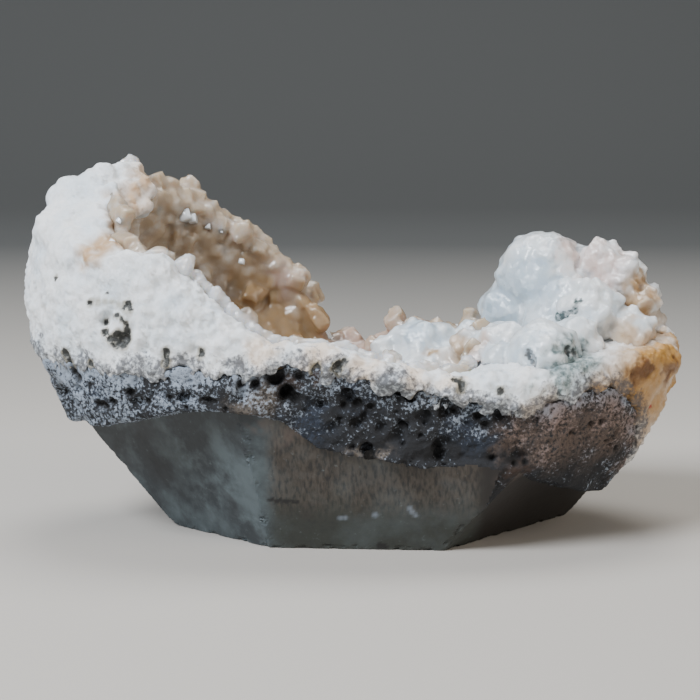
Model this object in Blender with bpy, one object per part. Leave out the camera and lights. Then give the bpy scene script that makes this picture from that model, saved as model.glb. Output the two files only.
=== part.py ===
"""Apophyllite cluster: half of a boat-shaped geode on its sawn basalt matrix.

The hollow is open at the top. Azimuths are in degrees seen from above, with 0 towards +X, the low
right end, and 270 towards the front. Lengths in the tables are millimetres; the model is in metres.
"""
import math
import random

import bmesh
import bpy
import numpy as np
from mathutils import Matrix, Vector, noise

MM = 0.001

# Plan of the whole specimen
HALF_LENGTH = 75.3
HALF_DEPTH = 39.5
OUTLINE_POWER = 2.2
OUTLINE_SHIFT = 1.1
PLAN_CENTRE = (0.43, -0.03)

# Rise of the natural outer wall: share of the widest height, share of the widest radius
OUTER_FLANK = ((0.0, 0.70), (0.25, 0.78), (0.5, 0.888), (0.75, 0.963), (1.0, 1.0))

# Heights and widths round the specimen, each as (azimuth, millimetres)
WIDEST_HEIGHT = (
    (0, 42), (45, 43), (90, 38), (135, 46), (180, 54), (215, 49), (250, 39), (300, 35), (330, 39),
)
SAW_TOP = (
    (0, 9.6), (10, 8.5), (30, 10), (60, 15), (90, 20), (130, 24), (165, 25), (180, 25.2), (203, 29.5),
    (212, 31), (225, 33), (240, 32.5), (250, 30), (254, 26), (268, 23.6), (288, 22), (302, 20.2),
    (309, 22), (316, 21.2), (320, 19.5), (327, 16.5), (338, 14), (350, 11),
)
RIND_FOOT = (
    (0, 16), (10, 16), (30, 20), (45, 26), (60, 31), (90, 31), (120, 36), (150, 43), (184, 43),
    (208, 41), (226, 43), (236, 40.5), (247, 44), (258, 43.5), (270, 41.5), (287, 39.5), (301, 36.5),
    (316, 34.5), (327, 36), (332, 39), (337, 35.5), (342, 31), (346, 24), (352, 17),
)
CREST_HEIGHT = (
    (0, 46), (30, 45), (60, 41), (90, 36.5), (97, 38.5), (103, 42.5), (107, 47.5), (112, 53), (117, 58),
    (132, 66), (145, 73), (160, 78), (172, 79), (186, 77.5), (196, 71), (205, 65.5), (214, 68),
    (222, 62), (230, 54), (240, 49), (255, 47.5), (270, 46.5), (285, 43.5), (297, 41.5), (310, 41),
    (330, 43),
)
CREST_RADIUS = (
    (0, 69), (30, 58), (60, 41), (90, 37), (105, 38), (120, 41), (135, 46), (150, 52), (165, 59),
    (180, 62.5), (195, 63), (205, 61), (215, 55), (222, 50), (230, 45.5), (240, 41.5), (255, 38.5),
    (270, 37.5), (285, 38), (297, 40), (310, 44), (330, 55), (345, 64),
)
CREST_WIDTH = (
    (0, 41), (30, 31), (60, 13), (90, 7), (120, 6), (150, 8), (175, 11), (200, 12), (220, 9), (240, 8),
    (255, 9), (290, 9), (310, 12), (330, 26), (345, 36),
)
BROKEN_DEPTH = ((0, 0), (235, 0), (250, 2), (270, 3.2), (290, 3), (305, 3.5), (316, 1.2), (324, 0))
RIND_THICKNESS = ((0, 5), (90, 3.5), (135, 4.5), (200, 5), (240, 3), (270, 2.4), (310, 3))
LINING_SPREAD = (
    (0, 0.1), (60, 0.5), (85, 0.95), (160, 0.9), (172, 0.5), (190, 0.2), (220, 0.1), (330, 0.1),
)

# Lean of the hollow's wall: share of the crest's inner radius by which it widens lower down
WALL_OVERHANG = (
    (0, 0.02), (90, 0.02), (150, 0.12), (180, 0.17), (215, 0.1), (240, -0.03), (270, -0.08),
    (300, -0.08), (330, -0.02),
)

# The hollow: its rind floor, the thicknesses round it, and the rings down its wall as shares of its depth
FLOOR_HEIGHT = 24.0
FLOOR_THICKNESS = 4.0
LINING_THICKNESS = 3.0
LEAST_WALL = 5.0
LEAST_RIND = 2.0
WALL_SHARES = (0.62, 0.34, 0.13, 0.04)

# Gap between touching solids, fall of the rim towards the hollow, rind beyond the basalt's edge, and how
# fast the stone's limit for the hollow opens above the saw cuts
SEAM = 0.3
RIM_DROP = 2.2
RIND_OVERHANG = 0.4
LEDGE_OPENING = 1.2

# Corners of the sawn base, and a higher point of the sawn face that runs from each corner to the next
BASE_CORNERS = ((-40.7, -1.1), (-17.8, -22.8), (20.8, -25.5), (50.9, 8.9), (32, 24), (-26, 24))
FACE_POINTS = (
    (-21.5, -33.9, 28), (0, -33.9, 28), (32.7, -30.7, 15), (60, 24, 15), (0, 32, 22), (-63.5, 8, 25),
)

# Balls of the rounded clusters and lumps: x, y, z of the centre and the radius
RIGHT_DOMES = (
    (44.4, 8, 58.0, 10.2), (52, 11, 55, 9.0), (37.0, 10, 49.5, 7.8), (36.6, 7, 57.0, 3.6),
    (58.1, 5, 60.0, 6.6), (62.9, 3, 57.4, 5.6), (54.6, -5, 50.5, 8.6), (67.0, 1, 52.0, 4.6),
    (68.0, 3, 47, 5.5), (63.4, -8, 46.0, 7.0), (72.0, -1, 43.6, 3.3), (73.0, 0, 38.6, 3.0),
    (50.0, -15, 45.5, 6.0), (42.6, -23, 42.8, 8.8), (33.5, -21, 41.5, 5.6), (52.0, -17, 41.5, 6.4),
    (58, 14, 47, 8.5), (42, 17, 45, 8.0), (35, -8, 42.5, 7.5),
)
MIDDLE_DOMES = (
    (16.3, 5, 41.2, 7.4), (20.9, 5, 43.4, 4.2), (11.8, 5, 43.2, 3.6), (8.1, 5, 40.6, 4.0),
    (16, 3, 33, 9.5), (27.3, -5, 42.6, 5.0), (28.0, 7, 42.6, 5.2), (24, 0, 36, 8.5),
    (30, -14, 39.5, 6.0),
)
DOME_CORE = (50.0, 3, 47, 13.5)
RIND_LUMPS = ((-51.5, 5, 79.6, 4.9), (-58.6, 0, 76.5, 5.6), (-63.2, 0, 75.6, 6.2), (-64.5, -8, 69, 7.0))
BALL_ROOM = 0.42

# Vesicles and holes: azimuth, height, half length along the wall, half height
BASALT_HOLES = (
    (189, 31.5, 2.8, 2.0), (199, 35.5, 2.6, 1.3), (212, 34.0, 1.8, 1.2), (224, 36.0, 3.6, 1.4),
    (238, 37.0, 2.0, 2.2), (250, 36.5, 2.4, 2.6), (259, 34.5, 3.2, 1.6), (264, 29.0, 2.4, 2.0),
    (270, 36.0, 3.6, 1.7), (278, 31.5, 3.4, 1.9), (286, 27.0, 2.8, 2.4), (294, 32.0, 2.6, 2.2),
    (300, 26.5, 3.0, 2.0), (319, 22.6, 2.6, 1.4),
)
RIND_HOLES = (
    (209, 52.0, 3.0, 2.6), (201, 56.8, 3.0, 1.0), (216, 46.5, 1.3, 2.0), (227, 46.6, 1.6, 1.3),
)

# Crystals of the lining
CRYSTAL_COUNT = 66
CRYSTAL_WIDTHS = (3.4, 5.2)
CRYSTAL_SPACING = 6.0
CRYSTAL_LEAN = 0.25
CRYSTAL_ROOT = 1.0
ROOT_ROOM = 0.8

# Columns of points round the specimen, in degrees
COLUMN_STEP = 9
EXTRA_COLUMNS = (337, 347)

# Cutters of the sawn faces, and the lumps of the rough walls
WEDGE_REACH = 90.0
WEDGE_STEPS = 24
WEDGE_DEPTH = 60.0
LUMP_SIZE = 10.0
LUMP_DEPTH = 1.1
BREAK_DEPTH = 1.4


def around(points, azimuth):
    """Smooth closed curve through (azimuth, value) points, without overshoot between them."""
    base = np.array(points, float)
    turn = np.array((360.0, 0.0))
    x, y = np.concatenate((base - turn, base, base + turn)).T
    step = np.diff(x)
    slope = np.diff(y) / step
    before, after = slope[:-1], slope[1:]
    steady = before * after > 0
    harmonic = 3 * (step[1:] + step[:-1]) / (
        (2 * step[1:] + step[:-1]) / np.where(steady, before, 1)
        + (step[1:] + 2 * step[:-1]) / np.where(steady, after, 1))
    tangent = np.zeros_like(y)
    tangent[1:-1] = np.where(steady, harmonic, 0)
    spot = np.mod(azimuth, 360.0)
    i = np.clip(np.searchsorted(x, spot) - 1, 0, len(step) - 1)
    t = (spot - x[i]) / step[i]
    return (y[i] * (1 + 2 * t) * (1 - t) ** 2 + step[i] * tangent[i] * t * (1 - t) ** 2
            + y[i + 1] * t * t * (3 - 2 * t) + step[i] * tangent[i + 1] * t * t * (t - 1))


def widest_radius(azimuth):
    """Plan outline at the widest height: a superellipse set a little towards the right."""
    angle = np.radians(azimuth)
    along = np.abs(np.cos(angle)) / HALF_LENGTH
    across = np.abs(np.sin(angle)) / HALF_DEPTH
    radius = (along ** OUTLINE_POWER + across ** OUTLINE_POWER) ** (-1 / OUTLINE_POWER)
    return radius + OUTLINE_SHIFT * np.cos(angle)


def crest_radii(azimuth):
    """Outer and inner radius of the crest of the rim."""
    outer = np.minimum(around(CREST_RADIUS, azimuth), widest_radius(azimuth) - 1)
    return outer, outer - around(CREST_WIDTH, azimuth)


def outer_radius(azimuth, height):
    """Natural outer wall: a flank up to the widest height, then a quarter ellipse to the crest."""
    widest = widest_radius(azimuth)
    widest_at = around(WIDEST_HEIGHT, azimuth)
    shares, flank = np.array(OUTER_FLANK).T
    low = widest * np.interp(height / widest_at, shares, flank)
    outer, _ = crest_radii(azimuth)
    rise = np.clip((height - widest_at) / (around(CREST_HEIGHT, azimuth) - widest_at), 0, 1)
    high = outer + (widest - outer) * np.sqrt(1 - rise ** 2)
    return np.where(height < widest_at, low, high)


def broken_radius(azimuth, height):
    """Outer wall of the basalt, set back where the front is broken above the saw cuts."""
    share = (height - around(SAW_TOP, azimuth)) / (around(RIND_FOOT, azimuth) - around(SAW_TOP, azimuth))
    return outer_radius(azimuth, height) - around(BROKEN_DEPTH, azimuth) * np.clip(2.3 - 2 * share, 0, 1)


def sawn_planes():
    """Outward normal and offset of each sawn face."""
    planes = []
    for i, face_point in enumerate(FACE_POINTS):
        start = Vector((*BASE_CORNERS[i], 0))
        along = Vector((*BASE_CORNERS[(i + 1) % len(BASE_CORNERS)], 0)) - start
        normal = along.cross(Vector(face_point) - start).normalized()
        if normal.dot(Vector((along.y, -along.x, 0))) < 0:
            normal.negate()
        planes.append((normal, normal.dot(start)))
    return planes


def sawn_radius(azimuth, height):
    """Distance from the axis to the nearest sawn face at a height."""
    angle = np.radians(azimuth)
    radius = np.full(np.shape(angle), np.inf)
    for normal, offset in sawn_planes():
        facing = normal.x * np.cos(angle) + normal.y * np.sin(angle)
        reach = (offset - normal.z * height) / np.where(facing > 0.05, facing, 1)
        radius = np.where(facing > 0.05, np.minimum(radius, reach), radius)
    return radius


def place(azimuth, radius, height):
    """Point of the model in metres from azimuth, radius and height."""
    angle = np.radians(azimuth)
    x = radius * np.cos(angle) - PLAN_CENTRE[0]
    y = radius * np.sin(angle) - PLAN_CENTRE[1]
    return np.stack(np.broadcast_arrays(x, y, height), -1) * MM


def from_axis(x, y, z):
    """Point of the model in metres from millimetres about the specimen's own axis."""
    return Vector((x - PLAN_CENTRE[0], y - PLAN_CENTRE[1], z)) * MM


def roughen(points, depth):
    """Moves points in and out from the axis by smooth noise."""
    moved = points.copy()
    for point in moved:
        lump = noise.fractal(Vector(point) / (LUMP_SIZE * MM), 0.8, 2.0, 2)
        outward = Vector((point[0], point[1], 0)).normalized()
        point += np.array(outward) * lump * depth * MM
    return moved


def new_object(name, bm, collection):
    """Links a bmesh as an object in a collection."""
    mesh = bpy.data.meshes.new(name)
    bm.to_mesh(mesh)
    bm.free()
    item = bpy.data.objects.new(name, mesh)
    collection.objects.link(item)
    return item


def hide_cutter(item):
    """Marks an object as a tool of the build."""
    item.hide_render = True
    item.display_type = "WIRE"
    return item


def loft(name, rings, start, end, collection):
    """Closed solid of triangles through rings of points, ending in one point on the axis at each end."""
    bm = bmesh.new()
    rows = [[bm.verts.new(point) for point in ring] for ring in rings]
    first = bm.verts.new(start)
    last = bm.verts.new(end)
    count = len(rows[0])
    for i in range(count):
        following = (i + 1) % count
        bm.faces.new((first, rows[0][following], rows[0][i]))
        bm.faces.new((last, rows[-1][i], rows[-1][following]))
        for below, above in zip(rows, rows[1:]):
            bm.faces.new((below[i], below[following], above[following], above[i]))
    bmesh.ops.triangulate(bm, faces=bm.faces, quad_method="SHORT_EDGE")
    if bm.calc_volume(signed=True) < 0:
        bmesh.ops.reverse_faces(bm, faces=bm.faces)
    return new_object(name, bm, collection)


def combine(item, other, operation):
    """Boolean of two objects, applied to the first."""
    modifier = item.modifiers.new(operation.title(), "BOOLEAN")
    modifier.operation = operation
    modifier.solver = "EXACT"
    modifier.use_self = True
    modifier.object = other
    bpy.context.view_layer.update()
    graph = bpy.context.evaluated_depsgraph_get()
    mesh = bpy.data.meshes.new_from_object(item.evaluated_get(graph))
    item.modifiers.clear()
    item.data = mesh


def absorb(item, other):
    """Joins another object into the first as one body, and removes it."""
    combine(item, other, "UNION")
    bpy.data.objects.remove(other)


def grown_copy(item, growth, cutters):
    """Copy of an object whose faces stand out by the growth: the space that its neighbours leave."""
    bm = bmesh.new()
    bm.from_mesh(item.data)
    bm.normal_update()
    moves = [vert.normal * growth * MM * min(vert.calc_shell_factor(), 1.6) for vert in bm.verts]
    for vert, move in zip(bm.verts, moves):
        vert.co += move
    return hide_cutter(new_object(item.name + "_clearance", bm, cutters))


def finish_mesh(item):
    """Deletes the crumbs that a cut leaves beside the main body, and splits all faces into triangles."""
    bm = bmesh.new()
    bm.from_mesh(item.data)
    unseen = set(bm.verts)
    bodies = []
    while unseen:
        edge_of_body = [unseen.pop()]
        body = set(edge_of_body)
        while edge_of_body:
            vert = edge_of_body.pop()
            linked = {edge.other_vert(vert) for edge in vert.link_edges} & unseen
            unseen -= linked
            body |= linked
            edge_of_body.extend(linked)
        bodies.append(body)
    largest = max(bodies, key=len)
    bmesh.ops.delete(bm, geom=[vert for vert in bm.verts if vert not in largest], context="VERTS")
    bmesh.ops.triangulate(bm, faces=bm.faces)
    bm.to_mesh(item.data)
    bm.free()


def column_azimuths():
    """Azimuths of the columns of points that every loft goes through."""
    return np.array(sorted((*range(0, 360, COLUMN_STEP), *EXTRA_COLUMNS)), float)


def stone_radius(azimuth, height):
    """Outer face of the stone beside the hollow: sawn, then opening above the ledge to the natural wall."""
    ledge = around(SAW_TOP, azimuth)
    sawn = sawn_radius(azimuth, np.minimum(height, ledge)) + LEDGE_OPENING * np.maximum(height - ledge, 0)
    return np.minimum(broken_radius(azimuth, height), sawn)


def hollow_rings(azimuth, inset):
    """Radii and heights down the hollow's wall, set back from the lining's face by inset."""
    _, inner = crest_radii(azimuth)
    crest = around(CREST_HEIGHT, azimuth)
    overhang = 1 + around(WALL_OVERHANG, azimuth)
    rind = around(RIND_THICKNESS, azimuth)
    face_floor = FLOOR_HEIGHT + LINING_THICKNESS
    rings = []
    radii = (inner * overhang, inner * (overhang - 0.03), inner * 0.82, inner * 0.5)
    for radius, share in zip(radii, WALL_SHARES):
        deepest = FLOOR_HEIGHT - rind + share * (crest - FLOOR_HEIGHT + rind)
        stone = np.where(deepest < around(RIND_FOOT, azimuth), rind + LEAST_WALL, LEAST_RIND)
        cover = LINING_THICKNESS + stone
        face = np.minimum(radius, stone_radius(azimuth, deepest) - cover)
        floor = face_floor - inset
        rings.append((face + inset, floor + share * (crest - floor)))
    return [(inner + inset, crest - RIM_DROP), *rings]


def contact_rings(azimuth, seam):
    """Rings of the face between basalt and rind, from the outer wall down to the bottom of the bowl."""
    foot = around(RIND_FOOT, azimuth)
    edge = broken_radius(azimuth, foot) - seam
    rings = [roughen(place(azimuth, edge, foot + seam), BREAK_DEPTH)]
    rings.append(place(azimuth, edge - 3, foot + seam - 1.2))
    for radius, height in hollow_rings(azimuth, LINING_THICKNESS + around(RIND_THICKNESS, azimuth))[2:]:
        rings.append(place(azimuth, radius - seam, np.minimum(height, foot - 2.5) + 2 * seam))
    return rings


def rim_height(azimuth, radius):
    """Height of the rind's rim, which falls from its middle to the edge of the hollow."""
    _, inner = crest_radii(azimuth)
    middle = rim_middle(azimuth)
    fall = np.clip((middle - radius) / (middle - inner - LINING_THICKNESS), 0, 1)
    return around(CREST_HEIGHT, azimuth) - RIM_DROP * fall


def rim_middle(azimuth):
    """Radius of the highest line of the rim."""
    outer, inner = crest_radii(azimuth)
    return np.maximum(0.5 * (outer + inner), inner + LINING_THICKNESS + 0.5)


def saw_wedge(index, cutters):
    """Space outside one sawn face and under the ledge of natural stone where the cut ends."""
    start = Vector((*BASE_CORNERS[index], 0))
    end = Vector((*BASE_CORNERS[(index + 1) % len(BASE_CORNERS)], 0))
    along = (end - start).normalized()
    normal, _ = sawn_planes()[index]
    climb = normal.cross(along)
    climb /= climb.z
    away = Vector((normal.x, normal.y, 0)).normalized() * WEDGE_DEPTH
    rows = []
    for step in range(WEDGE_STEPS + 1):
        foot = start.lerp(end, 0.5) + along * WEDGE_REACH * (2 * step / WEDGE_STEPS - 1)
        point = foot
        for _ in range(8):
            azimuth = math.degrees(math.atan2(point.y, point.x))
            point = foot + climb * float(around(SAW_TOP, azimuth))
        low = foot - climb * 5
        rows.append([from_axis(*corner) for corner in (low, point, point + away, low + away)])
    bm = bmesh.new()
    grid = [[bm.verts.new(point) for point in row] for row in rows]
    for near, far in zip(grid, grid[1:]):
        for i in range(4):
            bm.faces.new((near[i], near[i - 1], far[i - 1], far[i]))
    bm.faces.new(grid[0])
    bm.faces.new(grid[-1])
    bmesh.ops.recalc_face_normals(bm, faces=bm.faces)
    return hide_cutter(new_object("saw_wedge_%d" % index, bm, cutters))


def cut_holes(item, name, holes, radius_at, cutters):
    """Flattened balls set in the wall, cut out of an object."""
    bm = bmesh.new()
    for azimuth, height, half_length, half_height in holes:
        centre = Matrix.Translation(Vector(place(azimuth, float(radius_at(azimuth, height)), height)))
        turn = Matrix.Rotation(math.radians(azimuth), 4, "Z")
        size = Matrix.Diagonal((1.7 * MM, half_length * MM, half_height * MM, 1))
        bmesh.ops.create_uvsphere(bm, u_segments=6, v_segments=4, radius=1, matrix=centre @ turn @ size)
    combine(item, hide_cutter(new_object(name, bm, cutters)), "DIFFERENCE")


def uneven_balls(name, balls, picker, fine_from, growth, collection):
    """Balls with uneven skins, still apart, in one object; the larger ones have finer skins."""
    bm = bmesh.new()
    for x, y, z, radius in balls:
        centre = from_axis(x, y, z)
        turn = Matrix.Rotation(picker.uniform(0, math.pi), 4, (1, 0, 0))
        made = bmesh.ops.create_icosphere(
            bm, subdivisions=2 if radius > fine_from else 1, radius=(radius + growth) * MM,
            matrix=Matrix.Translation(centre) @ turn)
        for vert in made["verts"]:
            vert.co = centre + (vert.co - centre) * picker.uniform(0.94, 1.04)
    return new_object(name, bm, collection)


def model_basalt(parts, cutters):
    """Dark basalt matrix: outer wall, bowl for the rind, and the sawn faces; its vesicles come later."""
    azimuth = column_azimuths()
    saw = around(SAW_TOP, azimuth)
    foot = around(RIND_FOOT, azimuth)
    rings = []
    for height in (0 * saw, 0.5 * saw, saw - 0.8):
        rings.append(place(azimuth, outer_radius(azimuth, height), height))
    for share in (0.05, 0.35, 0.7):
        height = saw + share * (foot - saw)
        rings.append(roughen(place(azimuth, broken_radius(azimuth, height), height), BREAK_DEPTH))
    rings += contact_rings(azimuth, 0)
    bottom = from_axis(0, 0, FLOOR_HEIGHT - FLOOR_THICKNESS)
    basalt = loft("basalt_matrix", rings, from_axis(0, 0, 0), bottom, parts)
    for index in range(len(FACE_POINTS)):
        combine(basalt, saw_wedge(index, cutters), "DIFFERENCE")
    return basalt


def model_rind(parts, cutters):
    """White rind: its contact with the basalt, outer wall, rim, and the wall and floor under the lining."""
    azimuth = column_azimuths()
    foot = around(RIND_FOOT, azimuth) + SEAM
    top = around(CREST_HEIGHT, azimuth)
    rings = contact_rings(azimuth, SEAM)[::-1]
    rings.append(roughen(place(azimuth, outer_radius(azimuth, foot) + RIND_OVERHANG, foot), LUMP_DEPTH))
    for share in (0.3, 0.58, 0.82, 0.96):
        height = foot + share * (top - foot)
        rings.append(roughen(place(azimuth, outer_radius(azimuth, height), height), LUMP_DEPTH))
    rings.append(place(azimuth, rim_middle(azimuth), top))
    rings += [place(azimuth, radius, height) for radius, height in hollow_rings(azimuth, LINING_THICKNESS)]
    bottom = from_axis(0, 0, FLOOR_HEIGHT - FLOOR_THICKNESS + 2 * SEAM)
    rind = loft("chalcedony_rind", rings, bottom, from_axis(0, 0, FLOOR_HEIGHT), parts)
    absorb(rind, uneven_balls("rind_lumps", RIND_LUMPS, random.Random(9), 4, 0, cutters))
    return rind


def lining_edge(azimuth):
    """Radius and height of the lining's edge where it lies on the rim."""
    outer, inner = crest_radii(azimuth)
    spread = inner + around(LINING_SPREAD, azimuth) * (outer - inner)
    edge = np.maximum(spread, inner + LINING_THICKNESS + SEAM)
    return edge, rim_height(azimuth, edge) + 2 * SEAM


def lining_rings(azimuth):
    """Radii and heights of the lining's face, from its edge on the rim down to the floor."""
    _, inner = crest_radii(azimuth)
    edge, seat = lining_edge(azimuth)
    return [(edge, seat + 1), (0.5 * (edge + inner), seat + 2), *hollow_rings(azimuth, 0.0)]


def crystal_seats(picker):
    """Places on the lining's face for its crystals, spread by area and kept clear of the domes."""
    domes = [(from_axis(x, y, z), (radius + 1.5) * MM) for x, y, z, radius in RIGHT_DOMES + MIDDLE_DOMES]
    seats = []
    for _ in range(60 * CRYSTAL_COUNT):
        pair = picker.uniform(0, 360) + np.array((0.0, 1.0))
        rings = [place(pair, *ring) for ring in lining_rings(pair)]
        lengths = [np.linalg.norm(low[0] - high[0]) for low, high in zip(rings, rings[1:])]
        row = picker.choices(range(len(lengths)), lengths)[0]
        share = picker.random()
        spot = Vector(rings[row][0] * (1 - share) + rings[row + 1][0] * share)
        crowded = any((spot - other).length < CRYSTAL_SPACING * MM for other, *_ in seats)
        covered = any((spot - centre).length < radius for centre, radius in domes)
        if crowded or covered or spot.xy.length < picker.uniform(0, 50 * MM):
            continue
        down = Vector(rings[row + 1][0] - rings[row][0])
        side = Vector(rings[row][1] - rings[row][0])
        seats.append((spot, side.cross(down).normalized(), row > 1))
        if len(seats) == CRYSTAL_COUNT:
            break
    return seats


def add_crystal(bm, picker, spot, normal, on_wall):
    """Four-sided prism with a low pyramid on it, upright and shallow on the rim, leaning on the wall."""
    lean = Vector([picker.uniform(-CRYSTAL_LEAN, CRYSTAL_LEAN) for _ in range(3)])
    root = CRYSTAL_ROOT * MM
    if not on_wall:
        lean *= 0.5
        root *= 0.4
    axis = (normal + lean).normalized()
    width = picker.uniform(*CRYSTAL_WIDTHS) * MM
    length = width * picker.uniform(0.6, 0.95)
    turn = axis.to_track_quat("Z", "Y").to_matrix().to_4x4()
    turn = turn @ Matrix.Rotation(picker.uniform(0, math.pi / 2), 4, "Z")
    middle = Matrix.Translation(spot + axis * (length / 2 - root))
    made = bmesh.ops.create_cone(
        bm, cap_ends=True, segments=4, radius1=0.68 * width, radius2=0.62 * width, depth=length,
        matrix=middle @ turn)
    bm.normal_update()
    faces = {face for vert in made["verts"] for face in vert.link_faces}
    tip = max(faces, key=lambda face: face.normal.dot(axis))
    for vert in bmesh.ops.poke(bm, faces=[tip])["verts"]:
        vert.co += axis * 0.3 * width


def model_lining(room_for_rind, parts, cutters):
    """Crust over the hollow and part of the rim, with its crystals grown out of it, clear of the rind."""
    azimuth = column_azimuths()
    edge, seat = lining_edge(azimuth)
    fold = np.minimum(rim_middle(azimuth), edge - 0.2) - SEAM
    under = [(edge, seat), (fold, rim_height(azimuth, fold + SEAM) + 2 * SEAM)]
    under += hollow_rings(azimuth, LINING_THICKNESS - SEAM)
    faces = [place(azimuth, *ring) for ring in lining_rings(azimuth)[::-1] + under]
    top = from_axis(0, 0, FLOOR_HEIGHT + LINING_THICKNESS)
    lining = loft("crystal_lining", faces, top, from_axis(0, 0, FLOOR_HEIGHT + SEAM), parts)
    picker = random.Random(11)
    bm = bmesh.new()
    for seat in crystal_seats(picker):
        add_crystal(bm, picker, *seat)
    crystals = new_object("lining_crystals", bm, cutters)
    combine(crystals, room_for_rind, "DIFFERENCE")
    absorb(lining, crystals)
    return lining


def model_domes(name, growth, collection, cutters):
    """Rounded clusters on the right end and in the middle, grown together."""
    picker = random.Random(3)
    domes = uneven_balls(name, (DOME_CORE,), picker, 20, growth, collection)
    balls = uneven_balls(name + "_balls", RIGHT_DOMES + MIDDLE_DOMES, picker, 8.7, growth, cutters)
    absorb(domes, balls)
    return domes


# Colour in linear red, green and blue, and roughness
SURFACES = {
    "basalt_matrix": ((0.045, 0.045, 0.043), 0.8),
    "chalcedony_rind": ((0.80, 0.83, 0.84), 0.6),
    "crystal_lining": ((0.62, 0.47, 0.31), 0.3),
    "crystal_domes": ((0.82, 0.86, 0.88), 0.35),
}


def give_material(item):
    """Principled material named for the object."""
    colour, roughness = SURFACES[item.name]
    made = bpy.data.materials.new(item.name)
    made.use_nodes = True
    shader = made.node_tree.nodes["Principled BSDF"]
    shader.inputs["Base Color"].default_value = (*colour, 1)
    shader.inputs["Roughness"].default_value = roughness
    shader.inputs["Metallic"].default_value = 0
    item.data.materials.clear()
    item.data.materials.append(made)


def main():
    """Builds the specimen from the matrix outwards, each solid cut to clear the ones before it."""
    for item in list(bpy.data.objects):
        bpy.data.objects.remove(item)
    parts = bpy.data.collections.new("apophyllite_cluster")
    cutters = bpy.data.collections.new("cutters")
    for collection in (parts, cutters):
        bpy.context.scene.collection.children.link(collection)

    basalt = model_basalt(parts, cutters)
    rind = model_rind(parts, cutters)
    domes = model_domes("crystal_domes", 0, parts, cutters)
    combine(domes, grown_copy(rind, SEAM, cutters), "DIFFERENCE")
    lining = model_lining(grown_copy(rind, ROOT_ROOM, cutters), parts, cutters)
    room_for_lumps = uneven_balls("room_for_lumps", RIND_LUMPS, random.Random(9), 4, BALL_ROOM, cutters)
    for room in (model_domes("room_for_domes", BALL_ROOM, cutters, cutters), room_for_lumps):
        combine(lining, hide_cutter(room), "DIFFERENCE")

    cut_holes(basalt, "basalt_holes", BASALT_HOLES, broken_radius, cutters)
    cut_holes(rind, "rind_holes", RIND_HOLES, outer_radius, cutters)
    for item in (basalt, rind, domes, lining):
        finish_mesh(item)
        give_material(item)


if __name__ == "__main__":
    main()
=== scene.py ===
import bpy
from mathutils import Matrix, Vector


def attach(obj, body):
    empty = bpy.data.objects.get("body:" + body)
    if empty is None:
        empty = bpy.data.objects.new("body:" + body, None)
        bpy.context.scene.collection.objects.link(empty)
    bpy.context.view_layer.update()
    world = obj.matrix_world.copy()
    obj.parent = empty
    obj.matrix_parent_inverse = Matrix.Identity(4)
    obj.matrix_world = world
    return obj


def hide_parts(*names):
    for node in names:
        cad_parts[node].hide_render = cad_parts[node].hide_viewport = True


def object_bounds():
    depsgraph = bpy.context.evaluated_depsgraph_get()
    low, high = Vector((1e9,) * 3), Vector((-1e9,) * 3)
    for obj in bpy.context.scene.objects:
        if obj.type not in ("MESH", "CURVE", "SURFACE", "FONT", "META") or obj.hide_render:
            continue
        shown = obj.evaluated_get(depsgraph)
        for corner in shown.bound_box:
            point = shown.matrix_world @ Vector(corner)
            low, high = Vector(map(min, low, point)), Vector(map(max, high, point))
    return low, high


bl_info = {
    "name": "Crystal Geode Specimen",
    "version": (1, 0, 0),
    "blender": (4, 5, 0),
    "location": "3D View > Sidebar > Geode",
    "description": "Dresses a half geode: sawn basalt, milky rind, lined hollow and white clusters",
    "category": "Add Mesh",
}

from collections import namedtuple
from contextlib import contextmanager
from math import cos, pi, radians, sin

import bmesh
import bpy
import numpy as np
from bpy.props import FloatProperty, FloatVectorProperty, IntProperty, PointerProperty
from mathutils import Matrix, Vector, noise
from mathutils.bvhtree import BVHTree
from mathutils.kdtree import KDTree

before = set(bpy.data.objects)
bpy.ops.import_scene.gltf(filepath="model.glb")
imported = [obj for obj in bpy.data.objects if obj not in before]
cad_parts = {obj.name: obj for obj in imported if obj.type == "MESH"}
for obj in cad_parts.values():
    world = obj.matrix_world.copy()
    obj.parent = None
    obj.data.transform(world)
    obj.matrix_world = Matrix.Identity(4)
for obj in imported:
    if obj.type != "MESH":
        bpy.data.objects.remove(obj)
CAD_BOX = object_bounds()

MM = 0.001

CAMERA_AIM = Vector((-0.43, 0.03, 41.0)) * MM
CAMERA_ELEVATION = radians(9)
CAMERA_DISTANCE = 500 * MM
CAMERA_LENS = 111.8
CAMERA_SENSOR = 36
CAMERA_PLACE = CAMERA_AIM + CAMERA_DISTANCE * Vector(
    (0, -cos(CAMERA_ELEVATION), sin(CAMERA_ELEVATION)))
KEY_PLACE = Vector((-0.55, -0.55, 0.75))
# The lights' names, places, sizes across in metres, power in watts and tints.
LIGHTS = (
    ("key", KEY_PLACE, 0.5, 17.5, "F4F8FF"),
    ("fill", (0.75, -0.45, 0.4), 0.6, 3.2, "FFF0DF"),
    ("top", (0.05, 0.25, 0.9), 0.5, 5.0, "FFFFFF"),
)
LIGHTS_AIM = Vector((0, 0, 0.04))
ROOM_TINT, ROOM_STRENGTH = "E8ECF2", 0.28

# Points closer together than this are one point of a solid.
WELD = 0.001 * MM
# Faces closer to a neighbouring solid than this are pressed against it and can't be seen.
PRESSED = 0.8 * MM
BASALT_PRESSED = 0.9 * MM
# Islands of a skin with fewer points than this are crumbs left by the cutting of hidden faces.
CRUMB = 600
# Passes of smoothing, and its push back, where only broad soft forms stay.
SOFT_PASSES, SOFT_SWELL = 60, -0.45
# How quickly the finer octaves of a noise fade, and how much finer each one is.
OCTAVE_FADE, OCTAVE_STEP = 0.7, 2.0
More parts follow.
